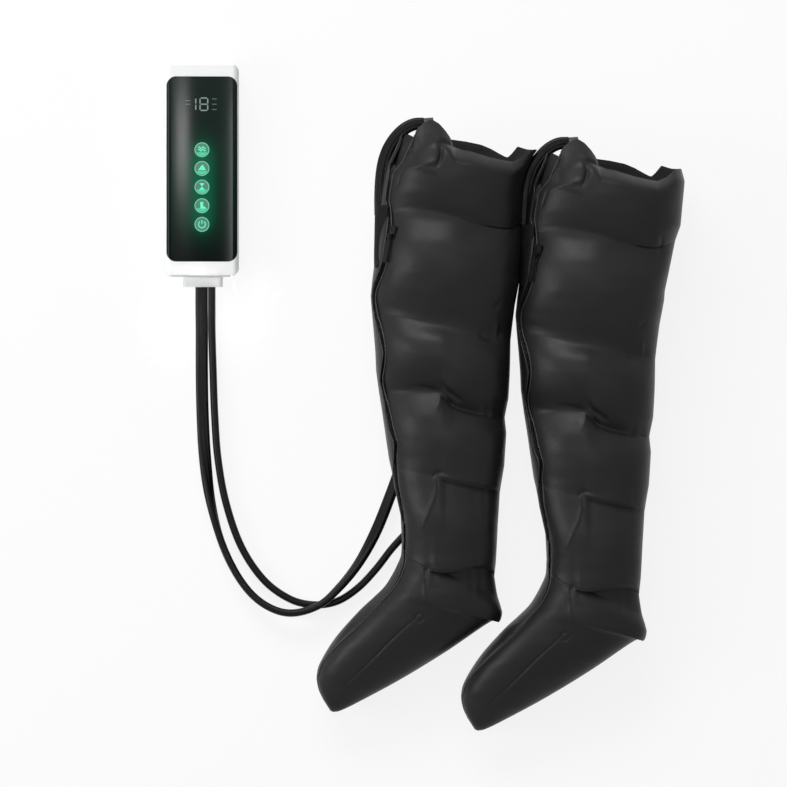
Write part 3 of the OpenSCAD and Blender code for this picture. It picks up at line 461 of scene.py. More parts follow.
def row_table(give):
    """Every slice of the boot from mouth to toe, as (t, slice)."""
    rows = []
    for k in range(LAST_WELD):
        a, b, m = WELDS[k].copy(), WELDS[k + 1].copy(), CROWNS[k].copy()
        a[2] -= give[0][k]
        b[2] -= give[0][k + 1]
        m[2] -= give[1][k]
        for u in np.arange(ROWS_CHAMBER) / ROWS_CHAMBER:
            full = math.sin(math.pi * u) ** CROWN_EDGE
            s = a + (b - a) * u + full * (m - (a + b) / 2)
            # from above the air swells each chamber softly, without a sharp valley
            soft = (math.sin(math.pi * u) ** 2 + CROWN_ROUND) ** CROWN_POWER
            s[5] = a[5] + (b[5] - a[5]) * u + soft * (m[5] - (a[5] + b[5]) / 2)
            rows.append((k + u, s))
    foot = catmull(FOOT_SHAPE, ROWS_FOOT // (len(FOOT_SHAPE) - 1))
    for i, s in enumerate(foot):
        rows.append((LAST_WELD + (TOE - LAST_WELD) * i / (len(foot) - 1), s))
    return rows


def chamber_of(t):
    """The weld above t and how far t lies beyond it."""
    k = min(int(t), LAST_WELD)
    return k, t - k


def x_at(edge, y):
    """x of an edge line at y; the lines run down the boot."""
    return np.interp(-y, -edge[:, 1], edge[:, 0])


def distance_to(line, xy):
    """Distance of points to a polyline, and the share of the line's length where it is met."""
    best = np.full(len(xy), np.inf)
    share = np.zeros(len(xy))
    seg = np.linalg.norm(np.diff(line, axis=0), axis=1)
    total, run = seg.sum(), 0.0
    for a, b, l in zip(line[:-1], line[1:], seg):
        d = b - a
        t = np.clip(((xy - a) @ d) / (l * l), 0, 1)
        dist = np.linalg.norm(xy - (a + t[:, None] * d), axis=1)
        near = dist < best
        best[near] = dist[near]
        share[near] = (run + t[near] * l) / total
        run += l
    return best, share


WAVES = 7


def wobble(x, y, seed):
    """A soft repeatable waviness, mostly between -1 and 1."""
    rng = np.random.default_rng(seed)
    total = np.zeros_like(x)
    for _ in range(WAVES):
        kx, ky = rng.normal(0, 1, 2)
        total += np.sin(x * kx + y * ky + rng.uniform(0, 6.28))
    return total / 4


# Creases and ridges of the upper side: (pixels of the photograph, depth or height, width)
CREASES = [
    ([(440, 146), (440.5, 156), (437.5, 167)], 6.0, 2.4),
    ([(424, 138), (431, 139.5), (438, 140)], 2.6, 2.2),
    ([(440, 144), (447, 145.5), (457, 149)], 8.0, 3.0),
    ([(402, 173), (400, 180), (397.5, 188)], 2.0, 1.5),
    ([(480, 333), (484, 337.5), (492, 338.5), (500, 338)], 2.6, 2.0),
    ([(487, 342.5), (492, 342), (497, 342.5)], 1.8, 1.4),
    ([(443, 383), (446, 389), (452, 394), (461, 400)], 3.4, 2.6),
    ([(412, 386), (428, 388), (440, 392)], 2.0, 2.6),
    ([(434, 475.5), (438, 472.5), (444, 472.5), (447, 474)], 3.2, 1.8),
    ([(437.5, 478), (438, 482), (438, 487)], 1.6, 1.6),
    ([(436, 567.5), (430, 566.5), (427, 569), (426.5, 575)], 3.0, 1.8),
    ([(427, 577), (427.5, 584)], 1.8, 1.8),
    ([(516, 219), (517, 225), (515, 232)], 2.8, 2.6),
    ([(501, 303), (497, 306), (494, 309)], 1.5, 2.2),
    ([(414.5, 619), (395, 637), (372, 661), (350, 683)], 2.0, 1.2),
    ([(404.5, 572), (385, 602), (362, 626), (343, 644)], 2.2, 1.8),
]
RIDGES = [
    ([(408, 170), (424, 166), (436, 163)], 3.6, 3.6),
    ([(420, 170), (430, 172), (435.5, 175)], 2.6, 3.2),
    ([(441, 393), (440, 400), (437, 410)], 1.6, 3.4),
    ([(437.6, 480), (434, 498), (427, 515), (423, 526)], 1.8, 2.0),
    ([(426, 580), (425.5, 590), (427, 601)], 1.2, 2.2),
    ([(498, 323), (498, 335)], 1.6, 2.2),
    ([(522, 160), (528, 155), (532, 151)], 1.2, 1.6),
]
RING = ((418.5, 616.5), 4.0, 1.6, 1.1)      # centre and radius in pixels, depth and width in mm
CREASE_Z = 135                   # height at which their pixels are read
CREASE_EDGE, CREASE_END = 1.3, 0.4       # powers: how sharp a crease is, how softly it ends
RIDGE_EDGE, RIDGE_END = 1.5, 0.6
# A slack unevenness: (height, length along x and y in mm, seed)
WOBBLES = [(0.9, 26, 20, 4), (0.35, 9, 8, 9)]
SLACK_END = 0.35


def stroke(line, wide, edge, end, xy):
    """A crease's or ridge's share of its height at points: away from its line, and along it."""
    d, share = distance_to(catmull(from_photo(line, CREASE_Z), 6), xy)
    ends = np.sin(np.pi * np.clip(share * 0.9 + 0.05, 0, 1)) ** end
    return np.exp(-(d / wide) ** edge), ends


def relief(xy):
    """What creases, ridges and the little ring weld add to the upper side's height."""
    z = np.zeros(len(xy))
    for line, deep, wide in CREASES:
        body, ends = stroke(line, wide, CREASE_EDGE, CREASE_END, xy)
        z -= deep * body * ends
    for line, high, wide in RIDGES:
        body, ends = stroke(line, wide, RIDGE_EDGE, RIDGE_END, xy)
        z += high * body * ends
    centre, radius, deep, wide = RING
    d = np.abs(np.linalg.norm(xy - from_photo([centre])[0], axis=1) - radius * PX_MM)
    return z - deep * np.exp(-(d / wide) ** 2)


SWELL = 2.0                      # the cloth stands this far above the CAD's chambers
RIM_Z, RIM_RISE = 130, 0.27      # the near lip's height; where the first chamber is full, in t
BULGE, BULGE_RIGHT = 0.86, 0.09  # power of the cross-section, and what the right side has less
RIGHT_FROM, RIGHT_LONG = 0.2, 0.6
SKEW, SKEW_START, SKEW_LONG = 0.30, 4.4, 1.2     # the foot's upper side leans to the left
SKEW_LEAN, SKEW_SINK = 0.5, 0.15
ZIP_DENSE = catmull(ZIP_LINE, 12)
ZIP_LOST, ZIP_FROM, ZIP_TO = -0.93, -0.985, -0.3     # places across a slice, in half widths
FAR_STOP = -0.992
GROOVE_DEEP, GROOVE_GAPE, GROOVE_FADE = 13, 30, 12.6     # more at the mouth, less at the toe
GAPE_END, GAPE_LONG, FADE_START, FADE_LONG = 0.6, 0.4, 7, 1.8
FAR_EDGE_DOWN, BED_UP, UNDERCUT = 1.5, 1.5, 2.5
LIP_WALL, WALL_GAIN, WALL_LONG = 1.6, 7.4, 0.5       # cloth at the lip, thicker further in


def fitted(t, s, give):
    """A slice's front and back point, low and top height, fitted to the photograph."""
    front, back = s[:2].copy(), s[2:4].copy()
    low, top = s[4], s[5]
    if t < LAST_WELD:
        front[0] = x_at(FRONT_EDGE, front[1])
        back[0] = x_at(BACK_EDGE, back[1])
        if give.any():
            back[0] = min(back[0], x_at(BESIDE_HOSE, back[1]))
        top = top + SWELL
    if t < 1:
        top = RIM_Z + (top - RIM_Z) * math.sin(math.pi / 2 * min(t / RIM_RISE, 1))
    return front, back, low, top


def zip_angles(mid, side, reach):
    """Angles of the zip's near and far edge on a slice."""
    across = np.array([-side[1], side[0]])
    rel = ZIP_DENSE - mid
    off, pos = rel @ across, rel @ side
    cross = np.where((off[:-1] >= 0) != (off[1:] >= 0))[0]
    at = pos[cross[0]] if len(cross) else ZIP_LOST * reach
    at = float(np.clip(at, ZIP_FROM * reach, ZIP_TO * reach))
    pixel_y = BOOT_PX[1] - (mid + side * at)[1] / PX_MM
    gap = float(np.interp(pixel_y, *zip(*ZIP_GAP))) * PX_MM
    near = math.acos(np.clip((at + gap / 2) / reach, ZIP_FROM, 1))
    far = math.acos(np.clip((at - gap / 2) / reach, FAR_STOP, 1))
    return near, far


def groove_depth(t):
    """The zip's groove gapes at the mouth and fades out along the foot."""
    if t > FADE_START:
        return GROOVE_DEEP - GROOVE_FADE * min((t - FADE_START) / FADE_LONG, 1)
    return GROOVE_DEEP + GROOVE_GAPE * smooth01((GAPE_END - t) / GAPE_LONG)


def boot_rows(give):
    """Vertex rows of the boot's outside and lining and of the zip's lines, in its own mm."""
    out = {key: [] for key in ("t", "xy", "z", "xy_in", "z_in", "wall", "near", "far", "bed")}
    for t, s in row_table(give):
        front, back, low, top = fitted(t, s, give)
        mid, reach = (front + back) / 2, np.linalg.norm(back - front) / 2
        side = (back - front) / 2 / reach
        middle, half = (low + top) / 2, (top - low) / 2
        a_near, a_far = zip_angles(mid, side, reach)
        skew = SKEW * smooth01((t - SKEW_START) / SKEW_LONG)

        def skin(angle, wall=0.0):
            """Points of the slice's outline at the angles, or a wall's thickness inside it."""
            ca, sa = np.cos(angle), np.sin(angle)
            power = BULGE - BULGE_RIGHT * smooth01((ca + RIGHT_FROM) / RIGHT_LONG)
            full = np.sign(sa) * np.abs(sa) ** power
            z = middle + (half - wall) * full
            z = z - np.maximum(sa, 0) * skew * half * (SKEW_LEAN * ca + SKEW_SINK)
            return mid + side * ((reach - wall) * ca)[:, None], np.maximum(z, wall)

        a_up = np.linspace(0, 1, N_UP) * a_near
        a_low = a_far + (2 * np.pi - a_far) * np.arange(1, N_LOW + 1) / (N_LOW + 1)
        xy_up, z_up = skin(a_up)
        xy_low, z_low = skin(a_low)
        # the near edge turns down into the groove, the bed lies at its bottom
        near_s, far_s = reach * math.cos(a_near), reach * math.cos(a_far)
        near_z, far_z = z_up[-1], skin(np.array([a_far]))[1][0] - FAR_EDGE_DOWN
        depth = groove_depth(t)
        g = np.linspace(0, 1, N_GROOVE)
        s_g = near_s + (far_s - near_s) * np.clip(g * 3 - 1, 0, 1)
        s_g = s_g + UNDERCUT * np.sin(np.pi * np.clip(g * 1.5, 0, 1)) * (g < 0.5)
        z_g = near_z - depth * smooth01(g * 3) + (far_z - near_z + depth) * smooth01(g * 3 - 2)
        wall = LIP_WALL + WALL_GAIN * smooth01(t / WALL_LONG)
        a_in = np.concatenate([a_up, np.linspace(a_near, a_far, N_GROOVE), a_low])
        xy_in, z_in = skin(a_in, wall)
        out["t"].append(t)
        out["xy"].append(np.vstack([xy_up, mid + side * s_g[:, None], xy_low]))
        out["z"].append(np.concatenate([z_up, z_g, z_low]))
        out["xy_in"].append(xy_in)
        out["z_in"].append(z_in)
        out["wall"].append(wall)
        out["near"].append([*xy_up[-1], near_z])
        out["far"].append([*(mid + side * far_s), far_z])
        out["bed"].append([*(mid + side * (near_s + far_s) / 2), near_z - depth + BED_UP])
    return {key: np.array(rows) for key, rows in out.items()}


SEAM_FADE = 0.6                  # t beyond the last weld over which its curve fades
LIP_END, LIP_BLEND = 0.8, 10     # t where the lips' shape ends; columns that join the two lips
VALLEY_END = 6.6                 # t of the last row that the welds pull down
CHAMBER_LONG, FOOT_LONG = 115.0, 45.0    # millimetres a unit of t
DIP_REACH, DIP_LONG, DIP_EDGE = 130.0, 21.0, 1.7
HOOK_BEFORE, HOOK_LONG = 5, 10   # the fold grows over this length round the hook
OVERHANG_EDGE = 1.6
PUCKER_FINE, PUCKER_BROAD, PUCKER_BEND = 0.30, 0.11, 2.2
LEAN_START, LEAN_GAIN, LEAN_LONG = 0.5, 0.7, 75.0    # a fold deepens to the right of its hook


def upper(values):
    """A row that is zero but for the upper side's columns."""
    row = np.zeros(COLS)
    row[:N_UP] = values
    return row


def seam_shift(i, x):
    """How far weld i's curve lies off the straight line between its ends."""
    if not 1 <= i <= LAST_WELD:
        return np.zeros(COLS)
    w = WELDS[i]
    ends = [x_at(FRONT_EDGE, w[1]), x_at(BACK_EDGE, w[3])]
    straight = np.interp(x, ends, [w[1], w[3]])
    return np.interp(x, SEAMS[i - 1][:, 0], SEAMS[i - 1][:, 1]) - straight


def follow_seams(b):
    """Bends the rows along the curved welds of the upper side."""
    inside = upper(np.sin(np.arange(N_UP) / N_UP * np.pi) ** 0.5)
    for r, t in enumerate(b["t"]):
        k, u = chamber_of(t)
        x = b["xy"][r, :, 0]
        if t < LAST_WELD:
            shift = seam_shift(k, x) * (1 - u) + seam_shift(k + 1, x) * u
        else:
            shift = seam_shift(LAST_WELD, x) * max(1 - u / SEAM_FADE, 0)
        for rows in (b["xy"], b["xy_in"]):
            rows[r, :, 1] += shift * inside


def shape_lips(b):
    """Bends the first rows to the mouth's near and far lip."""
    w = WELDS[0]
    m = np.linspace(0, 1, LIP_BLEND)
    for r, t in enumerate(b["t"]):
        if t >= LIP_END:
            break
        for row in (b["xy"][r], b["xy_in"][r]):
            x = row[:, 0]
            straight = np.interp(x, [w[0], w[2]], [w[1], w[3]])
            near = np.interp(x, NEAR_RIM[:, 0], NEAR_RIM[:, 1]) - straight
            far = np.interp(x, FAR_RIM[:, 0], FAR_RIM[:, 1]) - straight
            lip = far.copy()
            lip[:N_UP] = near[:N_UP]
            lip[:LIP_BLEND] = far[:LIP_BLEND] * (1 - m) + near[:LIP_BLEND] * m
            row[:, 1] += lip * (1 - t / LIP_END) ** 2


def weld_drop(i, dist, x):
    """How deep weld i's dip and fold are at x, dist millimetres down the boot from it."""
    left, right, below = SEAM_SOFT[i - 1]
    share = np.clip((x - x_at(FRONT_EDGE, WELDS[i][1])) / DIP_REACH, 0, 1)
    dip = (left + (right - left) * share) * math.exp(-(abs(dist - below) / DIP_LONG) ** DIP_EDGE)
    deep, above, under = SEAM_FOLD[i - 1]
    past_hook = x - SEAM_HOOK_X[i - 1]
    hooked = smooth01((past_hook + HOOK_BEFORE) / HOOK_LONG)
    bend = PUCKER_BEND * np.sin(x * PUCKER_BROAD + i)
    pucker = 1 + SEAM_PUCKER[i - 1] * np.sin(x * PUCKER_FINE + bend)
    over = SEAM_OVERHANG[i - 1]
    if not over:
        fade = math.exp(-(abs(dist) / (above if dist < 0 else under)))
        return dip + deep * hooked * pucker * fade
    if dist < 0:
        fold = -over * math.exp(-(-dist / above) ** OVERHANG_EDGE)
    else:
        fold = deep * math.exp(-(dist / under) ** 2)
    lean = LEAN_START + LEAN_GAIN * np.clip(past_hook / LEAN_LONG, 0, 1)
    return dip + fold * hooked * pucker * lean


def sink_welds(b):
    """Pulls the upper side down along the welds."""
    weight = upper(np.sin(np.linspace(0, 1, N_UP) ** 0.8 * np.pi * 0.5) ** 0.8)
    for r, t in enumerate(b["t"]):
        if t > VALLEY_END:
            break
        k, u = chamber_of(t)
        drop = np.zeros(COLS)
        for i, ahead in ((k, u), (k + 1, u - 1)):
            if 1 <= i <= LAST_WELD:
                dist = ahead * (CHAMBER_LONG if t < LAST_WELD else FOOT_LONG)
                drop += weld_drop(i, dist, b["xy"][r, :, 0])
        b["z"][r] -= drop * weight


def crease_cloth(b):
    """Adds creases and a slack unevenness to the upper side; the lining stays under it."""
    points = b["xy"][:, :N_UP].reshape(-1, 2)
    add = relief(points)
    for high, long_x, long_y, seed in WOBBLES:
        add = add + high * wobble(points[:, 0] / long_x, points[:, 1] / long_y, seed)
    fade = np.sin(np.arange(N_UP) / N_UP * np.pi) ** SLACK_END
    b["z"][:, :N_UP] += add.reshape(-1, N_UP) * fade
    under = b["z"][:, :N_UP] - b["wall"][:, None]
    b["z_in"][:, :N_UP] = np.minimum(b["z_in"][:, :N_UP], under)


TOE_TIP = np.array([[-165, -702, 36]])
LINING_SHARE, LINING_STEP = 0.8, 3       # the lining's share of the rows, of which every third


def build_boot(side, give):
    """The padded outside and the lining of one boot; returns its rows for the zip."""
    b = boot_rows(give)
    for step in (follow_seams, shape_lips, sink_welds, crease_cloth):
        step(b)
    offset = np.array([*BOOTS[side], 0])
    rows, cols = b["z"].shape
    outside = np.dstack([b["xy"], np.maximum(b["z"], 0.0)]) + offset
    verts = np.vstack([outside.reshape(-1, 3), TOE_TIP + offset]) * MM
    last = (rows - 1) * cols
    faces = grid_faces(rows, cols)
    faces += [[last + k, last + (k + 1) % cols, rows * cols] for k in range(cols)]
    body = mesh_object(f"boot_{side}", verts, faces, MAT["boot_fabric"])
    # the lining is closed at its far end and joined to the outside's lip by a hem
    keep = range(0, int(rows * LINING_SHARE), LINING_STEP)
    lining = np.dstack([b["xy_in"], b["z_in"]])[keep] + offset
    end = lining[-1].mean(0, keepdims=True)
    verts = np.vstack([lining.reshape(-1, 3), end, outside[0]]) * MM
    tip = len(keep) * cols
    last, hem = tip - cols, tip + 1
    faces = grid_faces(len(keep), cols, flip=True)
    faces += [[last + (k + 1) % cols, last + k, tip] for k in range(cols)]
    faces += [[k, (k + 1) % cols, hem + (k + 1) % cols, hem + k] for k in range(cols)]
    lining_ob = mesh_object(f"lining_{side}", verts, faces, MAT["lining"])
    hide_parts(*[f"{side}_chamber_{k}" for k in (1, 2, 3, 4, 5, "foot")])
    return b["t"], *(b[line] + offset for line in ("near", "far", "bed"))


PIPING_FROM, PIPING_TO, PIPING_UP = 0.08, 9.3, 0.2
TEETH_FROM, TEETH_TO, TEETH_STEP = 0.9, 8.6, 2.4
TOOTH_W, TOOTH_L, TOOTH_H, TOOTH_SHIFT = 1.3, 0.8, 0.8, 0.5      # half sizes; every second tooth
# A tooth's corners in half sizes, narrower at its top, and its faces
TOOTH = np.array([[-1, -1, -1], [1, -1, -1], [1, 1, -1], [-1, 1, -1],
                  [-0.7, -0.7, 1], [0.7, -0.7, 1], [0.7, 0.7, 1], [-0.7, 0.7, 1]], float)
TOOTH_FACES = [[3, 2, 1, 0], [4, 5, 6, 7], [0, 1, 5, 4], [1, 2, 6, 5], [2, 3, 7, 6], [3, 0, 4, 7]]


def build_piping(name, line, radius, sides=8):
    """A round bead along a line of points in millimetres."""
    _, across, up = directions(line)
    a = np.arange(sides) / sides * 2 * np.pi
    rings = line[:, None] + radius * (across[:, None] * np.cos(a)[None, :, None]
                                      + up[:, None] * np.sin(a)[None, :, None])
    verts, faces = closed_tube(rings, line)
    ob = mesh_object(name, verts, faces, MAT["piping"])


def build_teeth(side, line):
    """Small blocks along the zip's bed, by turns to its left and right."""
    seg = np.linalg.norm(np.diff(line, axis=0), axis=1)
    run = np.concatenate([[0], np.cumsum(seg)])
    at = np.arange(0, run[-1], TEETH_STEP)
    pos = np.stack([np.interp(at, run, line[:, i]) for i in range(3)], 1)
    along, across, _ = directions(pos)
    verts, faces = [], []
    for i, (p, d, side_way) in enumerate(zip(pos, along, across)):
        shift = TOOTH_SHIFT if i % 2 else -TOOTH_SHIFT
        faces += [[len(verts) + j for j in face] for face in TOOTH_FACES]
        for w, l, h in TOOTH:
            verts.append((p + side_way * (w * TOOTH_W + shift) + d * l * TOOTH_L
                          + np.array([0, 0, h * TOOTH_H])) * MM)
    teeth = mesh_object(f"zip_teeth_{side}", verts, faces, MAT["zip"], smooth=False)
    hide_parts(f"{side}_zip_tape")


def build_zip(side, t, near, far, bed):
    part = (t > PIPING_FROM) & (t < PIPING_TO)
    build_piping(f"zip_piping_near_{side}", near[part] + [0, 0, PIPING_UP], 1.0)
    build_piping(f"zip_piping_far_{side}", far[part] + [0, 0, PIPING_UP], 0.9)
    build_teeth(side, bed[(t > TEETH_FROM) & (t < TEETH_TO)])


NO_GIVE = np.zeros((2, 6))
for side, give in (("left", GIVE), ("right", NO_GIVE)):
    build_zip(side, *build_boot(side, give))

# The sleeve's two long edges: pixels of the photograph and heights in millimetres
STRAP_LEFT = from_photo([(375.2, 206), (374.8, 222), (374.4, 240), (374.0, 256), (374.2, 268)], 80)
STRAP_RIGHT = from_photo([(387.8, 206), (386.6, 222), (384.0, 240), (380.2, 256), (376.4, 268)], 80)
STRAP_LEFT_Z = [[83], [84], [85], [86], [86]]
STRAP_RIGHT_Z = [[108], [106], [104], [102], [98]]
STRAP_COLS, STRAP_STEPS, STRAP_BEND = 7, 4, 0.7
STRAP_OVER, STRAP_UNDER = 2, -1


def build_strap(side):
    """The flat sleeve that leads the rim hose down to the second chamber."""
    ox, oy = BOOTS[side]
    left, right, z_left, z_right = [catmull(line, STRAP_STEPS) for line in
                                    (STRAP_LEFT, STRAP_RIGHT, STRAP_LEFT_Z, STRAP_RIGHT_Z)]
    turns = ((STRAP_OVER, np.linspace(0, 1, STRAP_COLS)),
             (STRAP_UNDER, np.linspace(1, 0, STRAP_COLS)))
    verts = []
    for (ax, ay), (bx, by), (za,), (zb,) in zip(left, right, z_left, z_right):
        for lift, shares in turns:
            for s in shares:
                verts.append(((ax + (bx - ax) * s + ox) * MM, (ay + (by - ay) * s + oy) * MM,
                              (za + (zb - za) * s ** STRAP_BEND + lift) * MM))
    rows, cols = len(left), 2 * STRAP_COLS
    faces = grid_faces(rows, cols)
    faces += [list(range(cols))[::-1], [(rows - 1) * cols + i for i in range(cols)]]
    ob = mesh_object(f"hose_strap_{side}", verts, faces, MAT["strap"])


for side in BOOTS:
    build_strap(side)

# ---------- handset ----------

KEYS = ["mode", "pressure", "timer", "zone", "power"]
KEY_Y = [25 - 23.3 * i for i in range(len(KEYS))]
PANEL_TOP = 46.0
PANEL_LOW_Y, PANEL_HIGH_Y, PANEL_HALF_W = -0.115, 0.117, 0.044
PANEL_ROUGH, PANEL_SPECULAR = 0.11, 0.06
# The glass's own dark green with painted light: near black at the low end, painted lighter toward
# the top end
PANEL_GREEN_AND_PAINTED_LIGHT = [(0.0, (0.0005, 0.0028, 0.0018)), (0.45, (0.0024, 0.0110, 0.0070)),
               (1.0, (0.0095, 0.0155, 0.0135))]
PANEL_DOME = 0.0016
HALO_REACH, HALO_SHARE, HALO_STRENGTH = 0.0205, 0.5, 0.9
HALO_TINTS = [(0.0, (0, 0.0006, 0.0003)), (0.30, (0.0, 0.020, 0.010)), (1.0, (0.0, 0.15, 0.075))]
EULER = 2.718


def minus_square(nt, value):
    return maths(nt, "MULTIPLY", maths(nt, "MULTIPLY", value, value), -1.0)


def panel_material():
    """Dark green-black glass, painted lighter toward its top end as painted light, that glows
    faintly round the lit keys.
    """
    m, nt, bsdf = new_material("panel_gloss")
    xyz = coords(nt)
    sep = new(nt, "SeparateXYZ")
    nt.links.new(xyz, sep.inputs[0])
    along = new(nt, "MapRange")
    put(along, From_Min=PANEL_LOW_Y, From_Max=PANEL_HIGH_Y)
    nt.links.new(sep.outputs["Y"], along.inputs["Value"])
    # painted light: the glass's colour grows lighter toward the panel's top end
    nt.links.new(ramp(nt, along.outputs[0], PANEL_GREEN_AND_PAINTED_LIGHT), bsdf.inputs["Base Color"])
    put(bsdf, Roughness=PANEL_ROUGH, Specular_IOR_Level=PANEL_SPECULAR)
    glow = None
    for y in KEY_Y:
        d = new(nt, "VectorMath")
        d.operation = "DISTANCE"
        nt.links.new(xyz, d.inputs[0])
        d.inputs[1].default_value = (0, y * MM, PANEL_TOP * MM)
        q = maths(nt, "DIVIDE", d.outputs["Value"], HALO_REACH)
        e = maths(nt, "POWER", EULER, minus_square(nt, q))
        glow = e if glow is None else maths(nt, "ADD", glow, e)
    halo = ramp(nt, maths(nt, "MULTIPLY", glow, HALO_SHARE), HALO_TINTS)
    nt.links.new(halo, bsdf.inputs["Emission Color"])
    put(bsdf, Emission_Strength=HALO_STRENGTH)
    # the glass is slightly domed across its width
    across = maths(nt, "DIVIDE", sep.outputs["X"], PANEL_HALF_W)
    bump(nt, bsdf, minus_square(nt, across), PANEL_DOME)
    return m


GLOW_MOTTLE, GLOW_DARKER = 900, 0.85
GLOW_BASE, GLOW_ROUGH = (0.01, 0.05, 0.035, 1), 0.3


def glow_material(name, colour, strength):
    """A lit material with a fine mottle in its light."""
    m, nt, bsdf = new_material(name)
    mottle = noise(nt, coords(nt), GLOW_MOTTLE, 2)
    low = tuple(c * GLOW_DARKER for c in colour)
    nt.links.new(mixed(nt, mottle, low, colour), bsdf.inputs["Emission Color"])
    put(bsdf, Emission_Strength=strength, Base_Color=GLOW_BASE, Roughness=GLOW_ROUGH)
    return m


MAT["panel_gloss"] = panel_material()
MAT["lit"] = glow_material("key_lit", (0.06, 0.90, 0.46), 1.0)
MAT["lit_low"] = glow_material("key_lit_low", (0.01, 0.62, 0.33), 0.85)
MAT["lit_disc"] = glow_material("key_disc", (0.002, 0.13, 0.07), 1.0)
MAT["lit_ring"] = glow_material("key_ring", (0.16, 0.88, 0.52), 0.75)
MAT["digit"] = glow_material("digit_lit", (0.40, 0.46, 0.43), 0.48)
MAT["digit_dim"] = glow_material("digit_dim", (0.12, 0.16, 0.15), 0.35)


def dress_nodes():
    """Every CAD node takes the finish that the record names for it."""
    for part in frame["record"]["subparts"]:
        ob = nodes[part["node"]]
        ob.data.materials.clear()
        ob.data.materials.append(MAT[part["material_slot"]])


dress_nodes()


def plates(name, loops, thick, material, body):
    """Thin lit shapes on the panel: each loop of (x, y) becomes a plate thick millimetres high."""
    verts, faces = [], []
    for loop in loops:
        n, base = len(loop), len(verts)
        verts += [(x * MM, y * MM, (PANEL_TOP + thick) * MM) for x, y in loop]
        verts += [(x * MM, y * MM, PANEL_TOP * MM) for x, y in loop]
        faces.append([base + i for i in range(n)])
        faces.append([base + n + i for i in reversed(range(n))])
        faces += [[base + i, base + n + i, base + n + (i + 1) % n, base + (i + 1) % n]
                  for i in range(n)]
    ob = mesh_object(name, verts, faces, material, body, smooth=False)


def arc(cx, cy, r, a0, a1, n=40):
    """Points of an arc from angle a0 to a1, in degrees."""
    return [(cx + r * math.cos(math.radians(a0 + (a1 - a0) * i / n)),
             cy + r * math.sin(math.radians(a0 + (a1 - a0) * i / n))) for i in range(n + 1)]


def band(line, w):
    """A stroke w wide along a line, as one loop."""
    p = np.array(line, float)
    d = unit(np.gradient(p, axis=0))
    n = np.stack([-d[:, 1], d[:, 0]], 1) * w / 2
    return [tuple(v) for v in p + n][::-1] + [tuple(v) for v in p - n]


def ring_loops(cy, r0, r1, n=64):
    """A ring as quads, each its own loop."""
    out = []
    for i in range(n):
        a, b = 2 * math.pi * i / n, 2 * math.pi * (i + 1) / n
        out.append([(r * math.cos(t), cy + r * math.sin(t))
                    for r, t in ((r0, a), (r1, a), (r1, b), (r0, b))])
    return out


def bar(x0, x1, y, half):
    """A level bar, as one loop."""
    return [(x0, y - half), (x1, y - half), (x1, y + half), (x0, y + half)]


KEY_R, RING_R = 8.3, 9.2
STROKE = 1.2
FIELD_R, POWER_R = 7.6, 4.3
WAVE_W, WAVE_H, WAVE_UP, WAVE_GAP, WAVE_STEPS = 9.2, 1.1, 2.6, 3.0, 24


def glyphs(key, cy):
    """Bright strokes of a key's icon."""
    if key == "mode":
        steps = [t / WAVE_STEPS for t in range(WAVE_STEPS + 1)]
        wave = [(-WAVE_W / 2 + WAVE_W * s, cy + WAVE_UP + WAVE_H * math.sin(s * 4 * math.pi))
                for s in steps]
        return [band(wave, STROKE), band([(x, y - WAVE_GAP) for x, y in wave], STROKE)]
    if key == "pressure":
        return [[(-5.0, cy - 2.2), (5.0, cy - 2.2), (1.6, cy + 4.2), (-0.4, cy + 4.2)]]
    if key == "timer":
        return [[(-3.2, cy + 4.8), (0, cy + 0.6), (3.2, cy + 4.8)],
                [(-3.6, cy - 3.4), (3.6, cy - 3.4), (0, cy + 0.8)]]
    if key == "zone":
        leg = [(-2.2, cy + 4.8), (1.6, cy + 4.8), (1.4, cy - 0.2), (4.6, cy - 2.0), (4.4, cy - 3.6),
               (-2.0, cy - 3.6)]
        return [leg[::-1]]
    return [band(arc(0, cy, POWER_R, 125, 415), STROKE),
            [(-0.6, cy + 0.6), (0.6, cy + 0.6), (0.6, cy + 5.2), (-0.6, cy + 5.2)]]


RING_THICK, DISC_THICK, ICON_THICK, FIELD_THICK = 0.06, 0.02, 0.08, 0.05

for key, cy in zip(KEYS, KEY_Y):
    cap = f"{key}_key"
    disc = arc(0, cy, KEY_R, 0, 354, 59)
    ring = ring_loops(cy, KEY_R, RING_R)
    plates(f"ring_{key}", ring, RING_THICK, MAT["lit_ring"], cap)
    plates(f"disc_{key}", [disc], DISC_THICK, MAT["lit_disc"], cap)
    plates(f"icon_{key}", glyphs(key, cy), ICON_THICK, MAT["lit"], cap)
    if key != "power":
        field = arc(0, cy, FIELD_R, 205, 335, 30)
        plates(f"field_{key}", [field], FIELD_THICK, MAT["lit_low"], cap)

DIGIT_Y, DIGIT_H, DIGIT_THICK = 82.0, 15.5, 0.05
DIGIT_BAR, DIGIT_GAP = 1.5, 0.5
EIGHT_X, EIGHT_W, ONE_X, ONE_W = 2.4, 9.6, -12.2, 9.0
RIGHT_MARKS, LEFT_MARKS = (12.6, 18.4, 0.5, (-6.6, 0, 6.6)), (-21, -14.5, 0.4, (0, 4.4))


